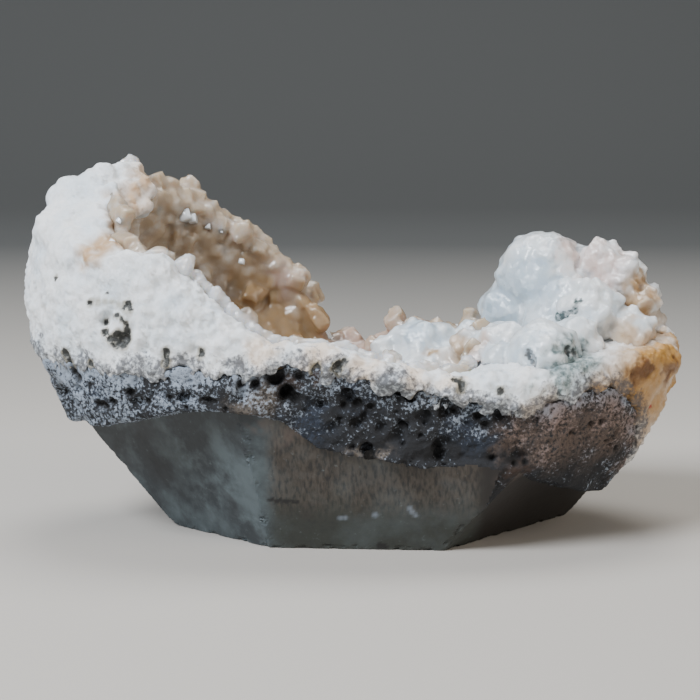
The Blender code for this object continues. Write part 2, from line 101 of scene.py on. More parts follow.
# Least area of a saw cut in square metres, and how far up the stone its narrow bevels reach.
CUT_AREA = 500 * MM * MM
BEVEL_TOP = 20.5 * MM
# Steps from a saw cut over which the relief of the broken stone rises.
CUT_EDGE_STEPS = 4
# How far the white lip is swelled so that it closes on the rind beside it.
LIP_SWELL = 0.4 * MM
# Room under the top of the stone that the feet of the hollow's crystals leave, so that they stay inside.
CREST_ROOM = 4 * MM
# How far the rind may rise over the top of the solids.
RIND_OVER = 1.5 * MM

# A crystal: its foot, the way it points, its turn, and the shape of its square block with cut corners.
Seat = namedtuple("Seat", "point way turn width height corner taper tip")
# A habit of crystals: ranges of width, height over width, corner in degrees, taper and tip, and their sway.
Habit = namedtuple("Habit", "widths heights corners tapers tips sway")
RIM_BLOCKS = Habit((0.8, 1.3), (0.24, 0.4), (34, 43), (0.84, 0.95), (0.45, 0.7), 0.25)
HOLLOW_BLOCKS = Habit((0.85, 1.5), (0.24, 0.4), (34, 43), (0.84, 0.95), (0.45, 0.7), 0.26)
TEETH = Habit((0.9, 1.8), (0.25, 0.5), (30, 42), (0.8, 0.92), (0.35, 0.6), 0.35)
PLATES = Habit((1.0, 1.7), (0.16, 0.26), (30, 43), (0.86, 0.95), (0.5, 0.75), 0.2)

# Kinds of node, and the sockets of a Mix node that mixes colours.
NOISE, CELLS = "ShaderNodeTexNoise", "ShaderNodeTexVoronoi"
RANGE, MIX, BUMP = "ShaderNodeMapRange", "ShaderNodeMix", "ShaderNodeBump"
MATH, VECTOR_MATH = "ShaderNodeMath", "ShaderNodeVectorMath"
PRINCIPLED, OUTPUT = "ShaderNodeBsdfPrincipled", "ShaderNodeOutputMaterial"
SHARE, UNDER, OVER, MIXED = 0, 6, 7, 2

# Places on the stone, each (x, y, z, reach) in mm, read off its surface.
RIND_PITS = (
    (-53.4, -27.0, 51.4, 0.7), (-53.5, -28.5, 49.5, 0.9), (-52.1, -29.1, 48.0, 1.0),
    (-50.9, -29.7, 47.3, 1.3), (-49.7, -30.2, 47.4, 1.4), (-48.9, -30.6, 48.6, 1.3),
    (-50.6, -29.9, 48.8, 1.2), (-48.5, -30.8, 50.0, 0.9), (-48.6, -30.7, 51.4, 0.7),
    (-49.4, -30.4, 52.6, 0.7), (-50.7, -30.0, 53.3, 0.6), (-52.1, -29.2, 53.1, 0.6),
    (-53.1, -28.4, 52.4, 0.6), (-57.0, -26.4, 55.5, 0.7), (-48.3, -31.1, 55.9, 0.9),
    (-47.5, -31.4, 54.7, 0.6), (-49.2, -30.7, 54.9, 0.6), (-52.9, -28.6, 58.0, 0.4),
    (-65.3, -19.5, 60.1, 0.6), (-39.9, -33.5, 45.9, 0.9), (-40.1, -33.5, 44.1, 1.0),
    (-32.5, -35.4, 46.0, 1.0), (-63.2, -20.9, 43.9, 1.0), (-62.3, -21.3, 42.2, 1.2),
    (-57.2, -25.1, 42.3, 0.8), (23.0, -37.0, 39.7, 1.1), (22.0, -36.7, 40.3, 0.8),
    (31.6, -37.0, 38.2, 0.8), (-1.5, -38.3, 44.7, 0.8), (-3.2, -38.5, 43.9, 1.1),
    (14.1, -37.0, 38.7, 1.1), (-7.9, -38.9, 43.9, 1.2),
)
# Stains on the rind without a pit.
OLIVE_STAINS = (
    (-56.5, -26.8, 55.6, 1.6), (-55.0, -27.8, 55.8, 1.5), (-53.4, -28.7, 55.9, 1.4),
    (-51.8, -29.4, 56.0, 1.4), (-50.4, -30.1, 55.6, 1.6), (-48.6, -31.0, 55.2, 2.2),
    (-51.0, -29.6, 47.2, 2.4), (-61.0, -22.5, 50.5, 1.6),
)
DOME_PITS = (
    (38.0, -29.7, 45.3, 0.9), (38.6, -30.2, 44.7, 0.8), (39.1, -30.7, 44.1, 0.8),
    (47.0, -28.9, 45.6, 1.1), (48.4, -27.5, 44.9, 1.0),
)
BASALT_PITS = (
    (-61.3, -21.0, 39.9, 1.2), (-60.4, -21.1, 38.1, 1.0), (-55.6, -23.4, 32.7, 1.0),
    (-54.2, -24.6, 32.4, 1.2), (-52.4, -26.4, 33.7, 0.9), (-48.2, -28.9, 36.1, 1.1),
    (-44.7, -31.4, 40.5, 0.8), (-44.4, -30.2, 34.4, 0.8), (-39.2, -32.7, 35.9, 0.8),
    (-32.1, -34.9, 35.7, 0.8), (-30.9, -35.3, 35.5, 1.0), (-29.6, -35.6, 35.4, 0.8),
    (-57.6, -23.1, 36.9, 0.7), (-35.9, -33.7, 33.7, 0.7), (-27.2, -36.1, 33.7, 0.7),
    (-23.9, -36.8, 39.3, 1.0), (-20.7, -37.0, 39.3, 1.2), (-16.4, -37.4, 41.5, 2.2),
    (-14.4, -35.1, 37.9, 2.2), (-11.1, -37.2, 41.5, 1.2), (-12.0, -35.9, 35.9, 1.5),
    (5.9, -38.2, 40.0, 1.4), (7.4, -37.2, 37.6, 1.3), (13.0, -37.6, 38.6, 1.3),
    (22.1, -35.7, 33.6, 1.2), (27.0, -35.2, 32.0, 1.2), (-5.1, -37.3, 40.9, 0.9),
    (-1.5, -35.6, 34.7, 1.1), (1.1, -35.8, 34.8, 1.4), (3.9, -35.6, 34.1, 1.1),
    (10.2, -37.3, 38.3, 1.5), (12.4, -37.1, 36.9, 1.4), (35.4, -31.3, 21.1, 0.7),
    (37.6, -30.9, 21.2, 0.7), (58.4, -20.6, 22.2, 0.8), (28.6, -34.2, 30.1, 1.0),
    (-19.6, -30.7, 22.8, 1.0),
)
# Colours of the rind: its beige crest, cream rim, honey end, brown bands, red speck and teal grains.
WARM_CREST = (
    (-55.9, -23.6, 66.8, 6.0), (-52.0, -20.0, 68.0, 6.0), (-50.5, -13.0, 73.0, 7.0),
    (-48.0, -5.0, 78.0, 8.0), (-45.0, 4.0, 81.0, 8.0), (-40.0, 16.0, 79.0, 12.0),
    (-28.0, 27.0, 68.0, 12.0), (-18.0, 31.0, 55.0, 12.0),
)
CREAM_RIM = (
    (-18.0, -36.0, 48.5, 6.0), (-7.0, -37.5, 46.5, 6.0), (3.0, -37.5, 44.0, 6.0),
    (14.0, -36.5, 42.5, 6.0), (22.0, -36.5, 41.0, 4.0), (43.0, -33.5, 33.5, 7.0),
    (38.0, -34.5, 33.5, 5.0),
)
OCHRE_END = (
    (68.4, -16.9, 43.2, 10.0), (63.5, -20.5, 43.8, 7.0), (72.4, -12.6, 41.6, 10.0),
    (72.0, -2.0, 42.0, 12.0), (70.0, 8.0, 42.0, 12.0), (64.0, -22.0, 37.0, 15.0),
    (62.0, -25.0, 31.0, 13.0), (66.0, -12.0, 31.0, 16.0), (70.0, 0.0, 32.0, 20.0),
    (66.0, 12.0, 34.0, 14.0), (55.0, -29.0, 37.0, 7.0),
)
BROWN_BANDS = ((65.0, -21.5, 40.6, 5.0), (62.5, -24.0, 39.0, 5.0), (69.0, -14.0, 38.5, 6.0))
RED_SPECK = ((66.6, -17.5, 31.1, 0.9),)
TEAL_GRAIN = (
    (43.0, -33.0, 40.5, 5.0), (48.0, -30.0, 42.0, 7.0), (51.0, -27.0, 43.5, 6.0),
    (45.5, -29.5, 46.0, 4.5), (48.5, -26.8, 46.4, 6.0), (51.3, -22.0, 44.8, 5.0),
    (45.0, -33.7, 38.7, 4.5),
)
# Colours of the white clusters.
TEAL_INCLUSION = (
    (47.2, -8.0, 49.8, 2.2), (48.3, -9.6, 50.8, 2.4), (49.6, -10.7, 52.0, 2.2),
    (50.9, -10.6, 53.4, 1.8), (50.2, -10.7, 52.7, 1.8),
)
DOME_BLUE = (
    (31.6, 6.1, 49.0, 11.0), (34.3, 4.0, 54.0, 9.0), (15.7, 1.9, 46.5, 8.0),
    (40.0, -2.0, 56.0, 12.0), (38.0, -28.0, 44.0, 6.0),
)
DOME_PINK = ((56.7, -0.1, 60.7, 10.0), (52.0, 2.0, 66.0, 8.0), (26.0, -14.0, 43.0, 10.0))
DOME_TAN = (
    (65.5, -2.0, 51.0, 8.0), (66.0, -1.0, 57.0, 5.0), (67.0, 6.0, 48.0, 12.0),
    (18.3, -2.9, 40.5, 3.0), (58.0, -16.0, 42.0, 5.0), (69.0, -8.0, 43.0, 8.0),
)
DOME_BEIGE = ((62.0, -13.5, 45.4, 9.0), (66.0, -12.0, 44.0, 8.0), (25.0, -8.0, 42.0, 9.0))
# Where small teeth stand on the white clusters.
TOOTHED = (
    (27.0, -12.0, 43.0, 12.0), (62.0, -13.5, 45.4, 12.0), (66.0, -4.0, 50.0, 10.0),
    (57.0, -1.0, 60.0, 11.0), (66.0, 8.0, 48.0, 16.0), (50.0, 12.0, 50.0, 12.0),
)
# Where the clusters carry broad flat facets instead.
BROAD_FACETS = (
    (57.0, -1.0, 60.0, 11.0), (50.0, 2.0, 66.0, 8.0), (64.0, 2.0, 56.0, 9.0),
    (52.0, -9.0, 48.0, 8.0), (56.0, 14.0, 58.0, 10.0),
)
# Where a cluster is a soft round mound.
CLUSTER_SOFT = ((13.0, 2.0, 44.0, 11.0),)
# The lip of the hollow's crust along the front rim and at the crest, as white as the rind.
WHITE_LIP = (
    (-44.0, -29.0, 69.0, 7.0), (-38.1, -28.7, 66.2, 7.0), (-33.8, -29.4, 62.0, 7.0),
    (-31.0, -30.0, 58.0, 6.0), (-27.0, -31.0, 54.0, 6.0), (-22.0, -32.0, 50.5, 6.0),
    (-15.0, -33.0, 48.0, 6.0), (-7.0, -33.0, 47.5, 6.0), (0.0, -32.5, 46.5, 6.0),
    (6.0, -30.0, 44.8, 6.0), (13.0, -27.0, 43.0, 7.0), (19.0, -23.0, 42.0, 7.0),
    (25.0, -18.0, 41.5, 7.0), (-52.0, 13.0, 84.0, 6.0),
)
# Dips of the hollow's crust at its rims, each (x, y, z, reach) and how far it is moved, in mm.
LINING_DIPS = (
    ((20.5, 18.5, 48.0, 9.0), (0.0, 0.0, -4.0)), ((-4.0, 31.0, 45.0, 8.0), (0.0, 0.0, -2.8)),
    ((1.0, 35.0, 43.0, 8.0), (0.0, 0.0, -2.5)), ((-37.8, -28.8, 66.8, 7.0), (0.0, 0.0, -3.6)),
)
# The back rim's low crystals.
LOW_RIM = (
    (-4.0, 31.0, 43.0, 9.0), (20.0, 19.0, 45.0, 9.0), (5.0, 31.0, 39.0, 14.0),
    (20.0, 28.0, 39.0, 14.0), (32.0, 24.0, 40.0, 12.0), (-8.0, 34.0, 40.0, 9.0),
)
# Where the front cluster runs down over the rind.
CLUSTER_FOOT = (
    (59.0, -13.0, 45.0, 9.0), (28.0, -24.0, 42.0, 6.0), (28.0, -17.0, 42.0, 7.0),
    (33.0, -25.0, 42.0, 6.0), (38.0, -31.0, 42.0, 11.0), (46.0, -30.0, 42.0, 11.0),
    (54.0, -24.0, 43.0, 9.0),
)
# Swellings of the rind, each (x, y, z, reach) and how far it is moved, in mm.
RIND_SWELLINGS = (
    ((-44.0, -31.0, 62.0, 8.0), (2.2, -0.3, 1.2)), ((-50.0, -29.5, 66.0, 6.0), (0.5, 0.0, 1.2)),
)
# Places of the rind with only broad soft forms.
RIND_SOFT = ((-60.0, -6.0, 80.0, 9.0),)
# Broad lumps between the crest's peak and the lobes beside it, each (x, y, z, width) in mm and its way.
CREST_LUMPS = (
    ((-56.5, 1.5, 78.8, 10.0), (-0.4, -0.8, 0.4)), ((-52.0, -0.5, 76.5, 9.0), (0.0, -0.9, 0.3)),
    ((-48.0, 0.0, 78.0, 7.0), (0.5, -0.8, 0.3)), ((-48.8, -2.0, 74.5, 7.0), (0.4, -0.8, 0.3)),
    ((-55.0, -5.0, 76.0, 9.0), (-0.2, -0.8, 0.5)),
)
# The lower left corner of the broken band, each (x, y, z, reach) and how far it is moved, in mm.
BAND_TRIM = (((-63.0, -12.5, 29.0, 8.0), (2.2, 1.0, 2.8)),)
# Where crystals of the hollow climb over the rind's edge.
CRYSTALLED_RIM = (
    (-47.0, -2.0, 77.0, 8.0), (-46.0, 4.0, 80.0, 7.0), (-52.0, -15.0, 71.0, 7.0),
    (-51.0, -21.0, 67.5, 6.0),
)
# Where the crystals of the hollow are brown, tan and pinkish. The brown is partly their own colour and
# partly painted shade deep in the hollow.
HOLLOW_BROWN_AND_SHADE = (
    (-28.4, -29.5, 56.0, 12.0), (-34.0, -18.0, 44.0, 18.0), (-25.0, 0.0, 32.0, 24.0),
    (-5.0, 0.0, 28.0, 20.0), (-30.0, 22.0, 48.0, 9.0),
)
HOLLOW_TAN = (
    (-17.5, 29.9, 43.7, 15.0), (-24.6, 28.2, 51.0, 11.0), (-10.0, 31.0, 41.0, 12.0),
    (-20.0, -32.0, 46.0, 14.0),
)
# Where that crust carries fewer single crystals.
BARE_CRUST = HOLLOW_TAN[:3]
HOLLOW_PINK = (
    (-0.4, 32.8, 38.3, 10.0), (8.0, 32.0, 37.5, 11.0), (20.0, 28.0, 38.0, 12.0),
    (-16.0, 33.0, 54.0, 7.0),
)
# The brightest crystals, each (x, y, z, size) in mm.
BRIGHT_CRYSTALS = (
    (-39.7, 22.2, 70.0, 3.4), (-38.0, 22.6, 69.2, 2.4), (-34.5, 25.6, 67.1, 1.6),
    (-31.4, 26.7, 66.0, 1.6), (-52.5, -20.3, 68.1, 1.5), (-51.2, -15.4, 72.5, 1.5),
    (-46.0, 18.0, 72.0, 1.8), (-26.5, 26.3, 58.5, 1.5),
)
# Colours of the broken basalt.
BLUE_CLUMPS = (
    (-9.0, -34.0, 31.0, 8.0), (25.2, -36.5, 34.9, 6.0), (24.0, -34.5, 31.0, 7.0),
    (27.0, -34.0, 27.5, 6.0), (3.0, -36.5, 37.0, 7.0), (-38.0, -33.0, 35.0, 6.0),
    (-56.0, -24.0, 35.0, 6.0),
)
BROWN_STAINS = (
    (-13.4, -32.4, 27.0, 4.0), (-14.0, -36.0, 40.0, 4.5), (-7.0, -37.0, 41.0, 3.0),
    (-5.5, -37.3, 40.5, 2.5), (-20.0, -34.0, 30.0, 4.0), (36.0, -31.0, 19.0, 4.0),
)
TAN_GRIT = ((-20.0, -36.5, 37.0, 8.0), (0.5, -33.0, 22.5, 4.0), (7.0, -33.0, 22.8, 4.0))
# Marks on the sawn front: a hairline crack drawn 0.6 mm wide and the chip at its foot, both drawn dark as
# painted shade, and pale flecks.
SAW_CRACK = tuple(
    (-18.0 + 0.6 * k, -27.0 - 0.03 * k, 11.9 - 0.04 * k + 0.25 * sin(1.9 * k), 0.7) for k in range(11)
) + ((6.2, -25.1, 1.0, 1.4), (7.4, -25.1, 0.8, 1.0))
SAW_FLECKS = (
    (13.2, -28.3, 9.5, 1.0), (12.7, -28.5, 10.4, 0.9), (14.0, -28.0, 8.7, 0.8),
    (5.1, -27.4, 8.6, 1.0), (-1.5, -26.7, 7.8, 0.9), (-2.6, -26.6, 7.7, 0.8),
)
# Pale clouds, and patches of painted shade, in the left cut.
CLOUDED_CUT = (
    (-36.2, -16.6, 21.0, 9.0), (-28.2, -21.2, 15.1, 8.0), (-22.8, -20.3, 3.5, 8.0),
    (-33.0, -16.0, 10.0, 8.0),
)
SHADED_CUT = (
    (-54.2, 3.8, 14.4, 8.0), (-44.2, -8.0, 13.0, 8.0), (-48.0, -9.0, 24.0, 9.0),
    (-27.5, -20.0, 9.0, 4.0),
)
# Where the broken basalt is weathered pinkish-brown.
WARM_RIGHT = (
    (45.0, -31.6, 27.0, 13.0), (56.0, -25.0, 28.0, 14.0), (64.0, -10.0, 26.0, 16.0),
    (60.0, 10.0, 26.0, 18.0), (36.0, -33.0, 28.0, 7.0), (45.0, 25.0, 26.0, 20.0),
)


def hex_colour(code):
    """The linear colour, with alpha, of an sRGB hex code such as "E8EEF0"."""
    parts = [int(code[i:i + 2], 16) / 255 for i in (0, 2, 4)]
    return tuple(c / 12.92 if c <= 0.04045 else ((c + 0.055) / 1.055) ** 2.4 for c in parts) + (1.0,)


def colour_setting(name, code, description):
    return FloatVectorProperty(
        name=name, description=description, size=4, subtype="COLOR", min=0, max=1,
        default=hex_colour(code))


def length_setting(name, millimetres, description):
    return FloatProperty(
        name=name, description=description, default=millimetres * MM, min=0, unit="LENGTH",
        precision=5)


class GeodeShapes(bpy.types.PropertyGroup):
    """Sizes of the fine shapes on every piece of the geode."""
    skin_step: length_setting("Skin step", 0.55, "Distance between the points of the fine skins")
    basalt_grit: length_setting("Basalt grit", 0.42, "Height of the rough grains of broken basalt")
    edge_chip: length_setting("Edge chips", 0.7, "Depth of the chips along the saw's edges")
    rind_lump: length_setting("Rind lumps", 0.75, "Height of the broad soft lumps of the rind")
    rind_sugar: length_setting("Rind sugar", 0.32, "Height of the sugary grains of the rind")
    rind_run: length_setting("Rind tongues", 2.6, "How far the rind's foot runs down over the basalt")
    dome_facet: length_setting("Cluster facets", 0.42, "Height of the facets of the white clusters")
    crust_lump: length_setting("Crust lumps", 1.3, "Height of the soft lumps of the hollow's crust")
    hollow_step: length_setting("Hollow step", 0.54, "Distance between the points of the hollow's crystals")
    cluster_step: length_setting("Cluster step", 0.42, "Distance between the points of the clusters' skin")
    crystal_sink: length_setting("Crystal depth", 0.75, "How deep the hollow's crystals sit in the crust")
    crystal_size: length_setting("Crystal width", 3.5, "Usual width of a crystal in the hollow")
    crystal_gap: length_setting("Crystal spacing", 2.5, "Least distance between crystal feet")
    tooth_size: length_setting("Tooth width", 1.5, "Usual width of the teeth on the clusters")
    seed: IntProperty(name="Seed", description="Starts the same random growth again", default=11, min=0)


class GeodeColours(bpy.types.PropertyGroup):
    """Colours of every stone of the geode."""
    basalt_dark: colour_setting("Basalt ground", "1D1F23", "Dark fine ground of the broken basalt")
    basalt_grain: colour_setting("Basalt grain", "95A1B0", "Pale feldspar grains in the basalt")
    basalt_blue: colour_setting("Basalt blue", "2B3647", "Blue-grey clay in the basalt")
    basalt_warm: colour_setting("Basalt warm", "5E5048", "Weathered pinkish-brown basalt")
    basalt_tan: colour_setting("Basalt tan", "6F665C", "Tan-grey sandy basalt")
    basalt_rose: colour_setting("Basalt rose", "85716A", "Pinkish grains of the weathered basalt")
    basalt_hole: colour_setting("Basalt hole", "0A0A0C", "Shaded bottoms of holes and cracks")
    basalt_rust: colour_setting("Basalt rust", "4A3424", "Iron-brown stains")
    sawn_brown: colour_setting("Sawn brown", "2A251F", "Brown-grey of the sawn front")
    sawn_green: colour_setting("Sawn green", "2D312C", "Grey-green of the smooth lower cut")
    sawn_blue: colour_setting("Sawn blue", "2A3135", "Blue-grey of the left cut")
    sawn_cloud: colour_setting("Sawn cloud", "6C7A7E", "Pale clouds in the left cut")
    # Painted shade on the right cut, brown-black.
    sawn_right_shade: colour_setting("Sawn dark", "1C1714", "Brown-black of the right cut")
    rind_white: colour_setting("Rind white", "F1F4F5", "Milky white chalcedony")
    rind_cool: colour_setting("Rind cool", "DDE7EE", "Cool white of thin chalcedony")
    rind_cream: colour_setting("Rind cream", "EAD6BF", "Cream rim of the rind")
    rind_beige: colour_setting("Rind beige", "BE9E7A", "Beige rind beside the hollow")
    rind_ochre: colour_setting("Rind ochre", "B1853F", "Iron-stained honey end of the rind")
    rind_grit: colour_setting("Rind grit", "43444A", "Basalt grit caught in the rind's foot")
    rind_red: colour_setting("Rind red", "A8341F", "A speck of red iron ore")
    rind_brown: colour_setting("Rind brown", "6F4A22", "Brown bands in the honey end")
    # Painted shade in the pits of the rind and the clusters, dark green-grey.
    pit_painted_shade: colour_setting("Pit", "2E3130", "Dark green-grey clay in pits")
    pit_olive: colour_setting("Pit edge", "8A8060", "Olive stain round pits")
    crystal_grey: colour_setting("Crystal grey", "C9B7A0", "Grey-beige crystals high in the hollow")
    crystal_tan: colour_setting("Crystal tan", "B2946C", "Tan crystals at the hollow's right")
    # Partly the crystals' own brown and partly painted shade deep in the hollow.
    crystal_brown_and_shade: colour_setting("Crystal brown", "543F2B", "Brown crystals deep in the hollow")
    crystal_pink: colour_setting("Crystal pink", "C9AFA2", "Pinkish crystals of the back rim")
    # Also the white base of the glinting crystals, where it is painted highlight.
    crystal_white: colour_setting("Crystal white", "F4F6F8", "Colourless bright crystals")
    dome_white: colour_setting("Cluster white", "EEF4F7", "Milky white clusters")
    dome_blue: colour_setting("Cluster blue", "C8DBE8", "Pale blue clusters")
    dome_pink: colour_setting("Cluster pink", "E6D0C6", "Pinkish-white crystals")
    dome_beige: colour_setting("Cluster beige", "D6BC9C", "Beige-white crystals")
    dome_tan: colour_setting("Cluster tan", "B58F58", "Tan crystals at the right")
    dome_teal: colour_setting("Cluster teal", "33504F", "Dark teal inclusion and grains")
    dome_wash: colour_setting("Cluster teal wash", "8FA3A3", "Teal-grey cast between the teal grains")
    floor: colour_setting("Floor", "B9B5AE", "Pale studio floor")
    backdrop: colour_setting("Backdrop", "5F6160", "Grey studio backdrop")


# ---------------------------------------------------------------- mesh helpers


def read_rows(items, field, kind, width):
    """The named field of every item, one row each."""
    values = np.empty(len(items) * width, kind)
    items.foreach_get(field, values)
    return values.reshape(-1, width)


def read_points(mesh):
    return read_rows(mesh.vertices, "co", np.float32, 3).astype(float)


def write_points(mesh, points):
    mesh.vertices.foreach_set("co", np.asarray(points, np.float32).ravel())
    mesh.update()


def read_normals(mesh):
    return read_rows(mesh.vertex_normals, "vector", np.float32, 3).astype(float)


def read_edges(mesh):
    return read_rows(mesh.edges, "vertices", np.int32, 2)


@contextmanager
def mesh_edit(mesh):
    """The mesh as a bmesh, which is written back at the end."""
    build = bmesh.new()
    build.from_mesh(mesh)
    yield build
    build.to_mesh(mesh)
    build.free()


def neighbour_mean(values, edges):
    """The mean of every point's neighbours."""
    count = np.bincount(edges.ravel(), minlength=len(values))
    columns = [
        np.bincount(edges[:, 0], column[edges[:, 1]], len(values))
        + np.bincount(edges[:, 1], column[edges[:, 0]], len(values))
        for column in values.T]
    return np.stack(columns, 1) / np.maximum(count, 1)[:, None]


def relax(points, edges, passes, shrink=0.5, swell=-0.53):
    """Smooths the points without shrinking what is broader than a few steps."""
    for _ in range(passes):
        for share in (shrink, swell):
            points = points + share * (neighbour_mean(points, edges) - points)
    return points


def soften(points, edges, places):
    """Leaves only broad soft forms at the named places."""
    softer = relax(points, edges, SOFT_PASSES, swell=SOFT_SWELL)
    return points + (softer - points) * blobs(points, places)[:, None]


def move_places(points, moves):
    """Moves the points round each named place its own way, in mm."""
    for place, way in moves:
        points = points + blobs(points, (place,))[:, None] * np.array(way) * MM
    return points


def spread(mask, edges, passes):
    """Grows a yes-or-no mask of points by that many steps over the mesh."""
    mask = mask.copy()
    for _ in range(passes):
        touched = mask[edges[:, 0]] | mask[edges[:, 1]]
        mask[edges[touched].ravel()] = True
    return mask


def smooth_step(values, low, high):
    """0 up to low, 1 from high on, and a smooth rise between."""
    share = np.clip((values - low) / (high - low), 0, 1)
    return share * share * (3 - 2 * share)


def blobs(points, places):
    """How deep each point lies in the nearest of the round places, 0 outside and 1 in the middle."""
    depth = np.zeros(len(points))
    for x, y, z, reach in places:
        far = np.linalg.norm(points - np.array((x, y, z)) * MM, axis=1)
        depth = np.maximum(depth, 1 - smooth_step(far, 0.25 * reach * MM, reach * MM))
    return depth


def fractal_field(points, size, octaves=3, shift=0.0):
    """Fractal noise whose broadest bumps are that size, in metres."""
    return np.array([
        noise.fractal(p, OCTAVE_FADE, OCTAVE_STEP, octaves) for p in (points / size + shift).tolist()])


def cell_field(points, size, shift=0.0):
    """Distance to the nearest of scattered seeds that far apart, as a share of it."""
    return np.array([noise.voronoi(p)[0][0] for p in (points / size + shift).tolist()])


def lump_field(points, size, shift=0.0):
    """Round lumps that far apart, highest at scattered seeds."""
    return 0.5 - cell_field(points, size, shift)


def store_zones(mesh, zones):
    """Keeps one number for each point under each name that the material reads."""
    for name, values in zones.items():
        layer = mesh.attributes.new(name, "FLOAT", "POINT")
        layer.data.foreach_set("value", np.asarray(values, np.float32))


def even_skin(item, step):
    """Joins all closed parts of an object under one skin of evenly spaced points."""
    remesh = item.modifiers.new("Even skin", "REMESH")
    remesh.mode = "VOXEL"
    remesh.voxel_size = step
    graph = bpy.context.evaluated_depsgraph_get()
    mesh = bpy.data.meshes.new_from_object(item.evaluated_get(graph))
    item.modifiers.clear()
    item.data = mesh


def fine_skin(node, name, step):
    """A new object with an evenly fine copy of a solid's skin."""
    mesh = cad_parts[node].data.copy()
    mesh.materials.clear()
    with mesh_edit(mesh) as build:
        bmesh.ops.remove_doubles(build, verts=build.verts, dist=WELD)
    item = bpy.data.objects.new(name, mesh)
    bpy.context.scene.collection.objects.link(item)
    even_skin(item, step)
    return item


def solid_tree(*nodes):
    """A search tree over the faces of those solids."""
    points, faces = [], []
    for name in nodes:
        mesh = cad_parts[name].data
        start = len(points)
        points.extend(v.co.copy() for v in mesh.vertices)
        faces.extend([start + i for i in face.vertices] for face in mesh.polygons)
    return BVHTree.FromPolygons(points, faces)


def nearness(points, tree, reach):
    """Distance of every point to the tree's faces, at most reach."""
    found = np.full(len(points), reach)
    for i, p in enumerate(points.tolist()):
        distance = tree.find_nearest(p, reach)[3]
        if distance is not None:
            found[i] = distance
    return found


def drop_hidden(item, tree, pressed, margin):
    """Deletes faces that are pressed against a neighbour, save a margin of that many steps, and
    then the crumbs that are left."""
    points, edges = read_points(item.data), read_edges(item.data)
    shown = spread(nearness(points, tree, pressed) >= pressed, edges, margin).tolist()
    with mesh_edit(item.data) as build:
        lost = [f for f in build.faces if not any(shown[v.index] for v in f.verts)]
        bmesh.ops.delete(build, geom=lost, context="FACES")
    with mesh_edit(item.data) as build:
        seen, crumbs = set(), []
        for first in build.verts:
            if first in seen:
                continue
            island, front = {first}, [first]
            while front:
                near = {edge.other_vert(point) for point in front for edge in point.link_edges}
                front = list(near - island)
                island |= near
            seen |= island
            if len(island) < CRUMB:
                crumbs.extend(island)
        bmesh.ops.delete(build, geom=crumbs, context="VERTS")


def press_pits(points, normals, pits, depth_share):
    """Presses the named pits in. Returns the points and how much painted shade each point gets in and round
    the pits.
    """
    floor, rim, widest = 0.35, 1.25, 2.2  # in shares of a pit's reach
    # Shares of a pit's reach over which the painted shade fades out round it.
    dark_floor, dark_rim = 0.7, 1.7
    tree = KDTree(len(points))
    for i, p in enumerate(points.tolist()):
        tree.insert(p, i)
    tree.balance()
    depth = np.zeros(len(points))
    moved = points.copy()
    for x, y, z, reach in pits:
        near = tree.find_range(Vector((x, y, z)) * MM, widest * reach * MM)
        if not near:
            continue
        rows = np.array([i for _, i, _ in near])
        far = np.array([d for _, _, d in near])
        inward = -normals[rows].mean(0)
        inward /= max(np.linalg.norm(inward), 1e-9)
        hollow = 1 - smooth_step(far, floor * reach * MM, rim * reach * MM)
        moved[rows] += inward * (hollow * reach * depth_share * MM)[:, None]
        dark = 1 - smooth_step(far, dark_floor * reach * MM, dark_rim * reach * MM)
        depth[rows] = np.maximum(depth[rows], dark)
    return moved, depth


def run_down(points, below, most):
    """Lets a crust's foot run down over the stone below in ragged tongues, so that no seam shows."""
    reach, lip = 4 * MM, 1.5 * MM
    proud = 0.3  # mm that the lip stands out of the stone
    upright = 0.3  # the foot clings only to faces whose normal rises less than this
    moved = points.copy()
    ragged = np.clip(0.45 + fractal_field(points, 4 * MM, 3, 11.0), 0.15, 1.0) * most
    far = nearness(points, below, reach)
    for i in np.flatnonzero(far < reach):
        p = Vector(points[i]) - Vector((0, 0, ragged[i] * (1 - far[i] / reach)))
        if far[i] < lip:
            foot, normal, _, _ = below.find_nearest(p)
            if normal.z < upright:
                p = p.lerp(foot + normal * proud * MM, 1 - far[i] / lip)
        moved[i] = p
    return moved


def shade_smooth(item):
    item.data.polygons.foreach_set("use_smooth", [True] * len(item.data.polygons))
    item.data.update()


def finish_piece(item, node, slot, *materials):
    """Gives a finished piece its materials and its place in the specimen."""
    for material in materials:
        item.data.materials.append(material)
    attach(item, "root")
    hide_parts(node)


# -------------------------------------------------------------- crystal growth


def crystal_rings(seat):
    """Rings, from foot to tip, of a square crystal with cut corners and a low pyramid."""
    outline = []
    for quarter in range(4):
        for side in (-1, 1):
            turn = quarter * pi / 2 + side * seat.corner
            outline.append((cos(turn), sin(turn)))
    # The height of each ring, and its width as a share of the crystal's.
    levels = ((-0.5 * seat.width, 0.92), (0.55 * seat.height, 1.0), (0.82 * seat.height, seat.taper),
              (seat.height, seat.tip))
    return [[(seat.width / 2 * share * x, seat.width / 2 * share * y, z) for x, y in outline]
            for z, share in levels]


def grow_crystals(item, seats):
    """Adds one crystal for each seat to the object's mesh, after its own points."""
    points, faces = [], []
    for seat in seats:
        pose = Vector(seat.way).to_track_quat("Z", "Y").to_matrix() @ Matrix.Rotation(seat.turn, 3, "Z")
        start = len(points)
        rings = crystal_rings(seat)
        for ring in rings:
            points.extend(pose @ Vector(p) + Vector(seat.point) for p in ring)
        sides = len(rings[0])
        for level in range(len(rings) - 1):
            for i in range(sides):
                j = (i + 1) % sides
                low, high = start + level * sides, start + (level + 1) * sides
                faces.append((low + i, low + j, high + j, high + i))
        faces.append([start + (len(rings) - 1) * sides + i for i in range(sides)])
        faces.append([start + i for i in reversed(range(sides))])
    mesh = bpy.data.meshes.new("crystals")
    mesh.from_pydata([tuple(p) for p in points], [], faces)
    mesh.update()
    with mesh_edit(item.data) as build:
        build.from_mesh(mesh)
    bpy.data.meshes.remove(mesh)


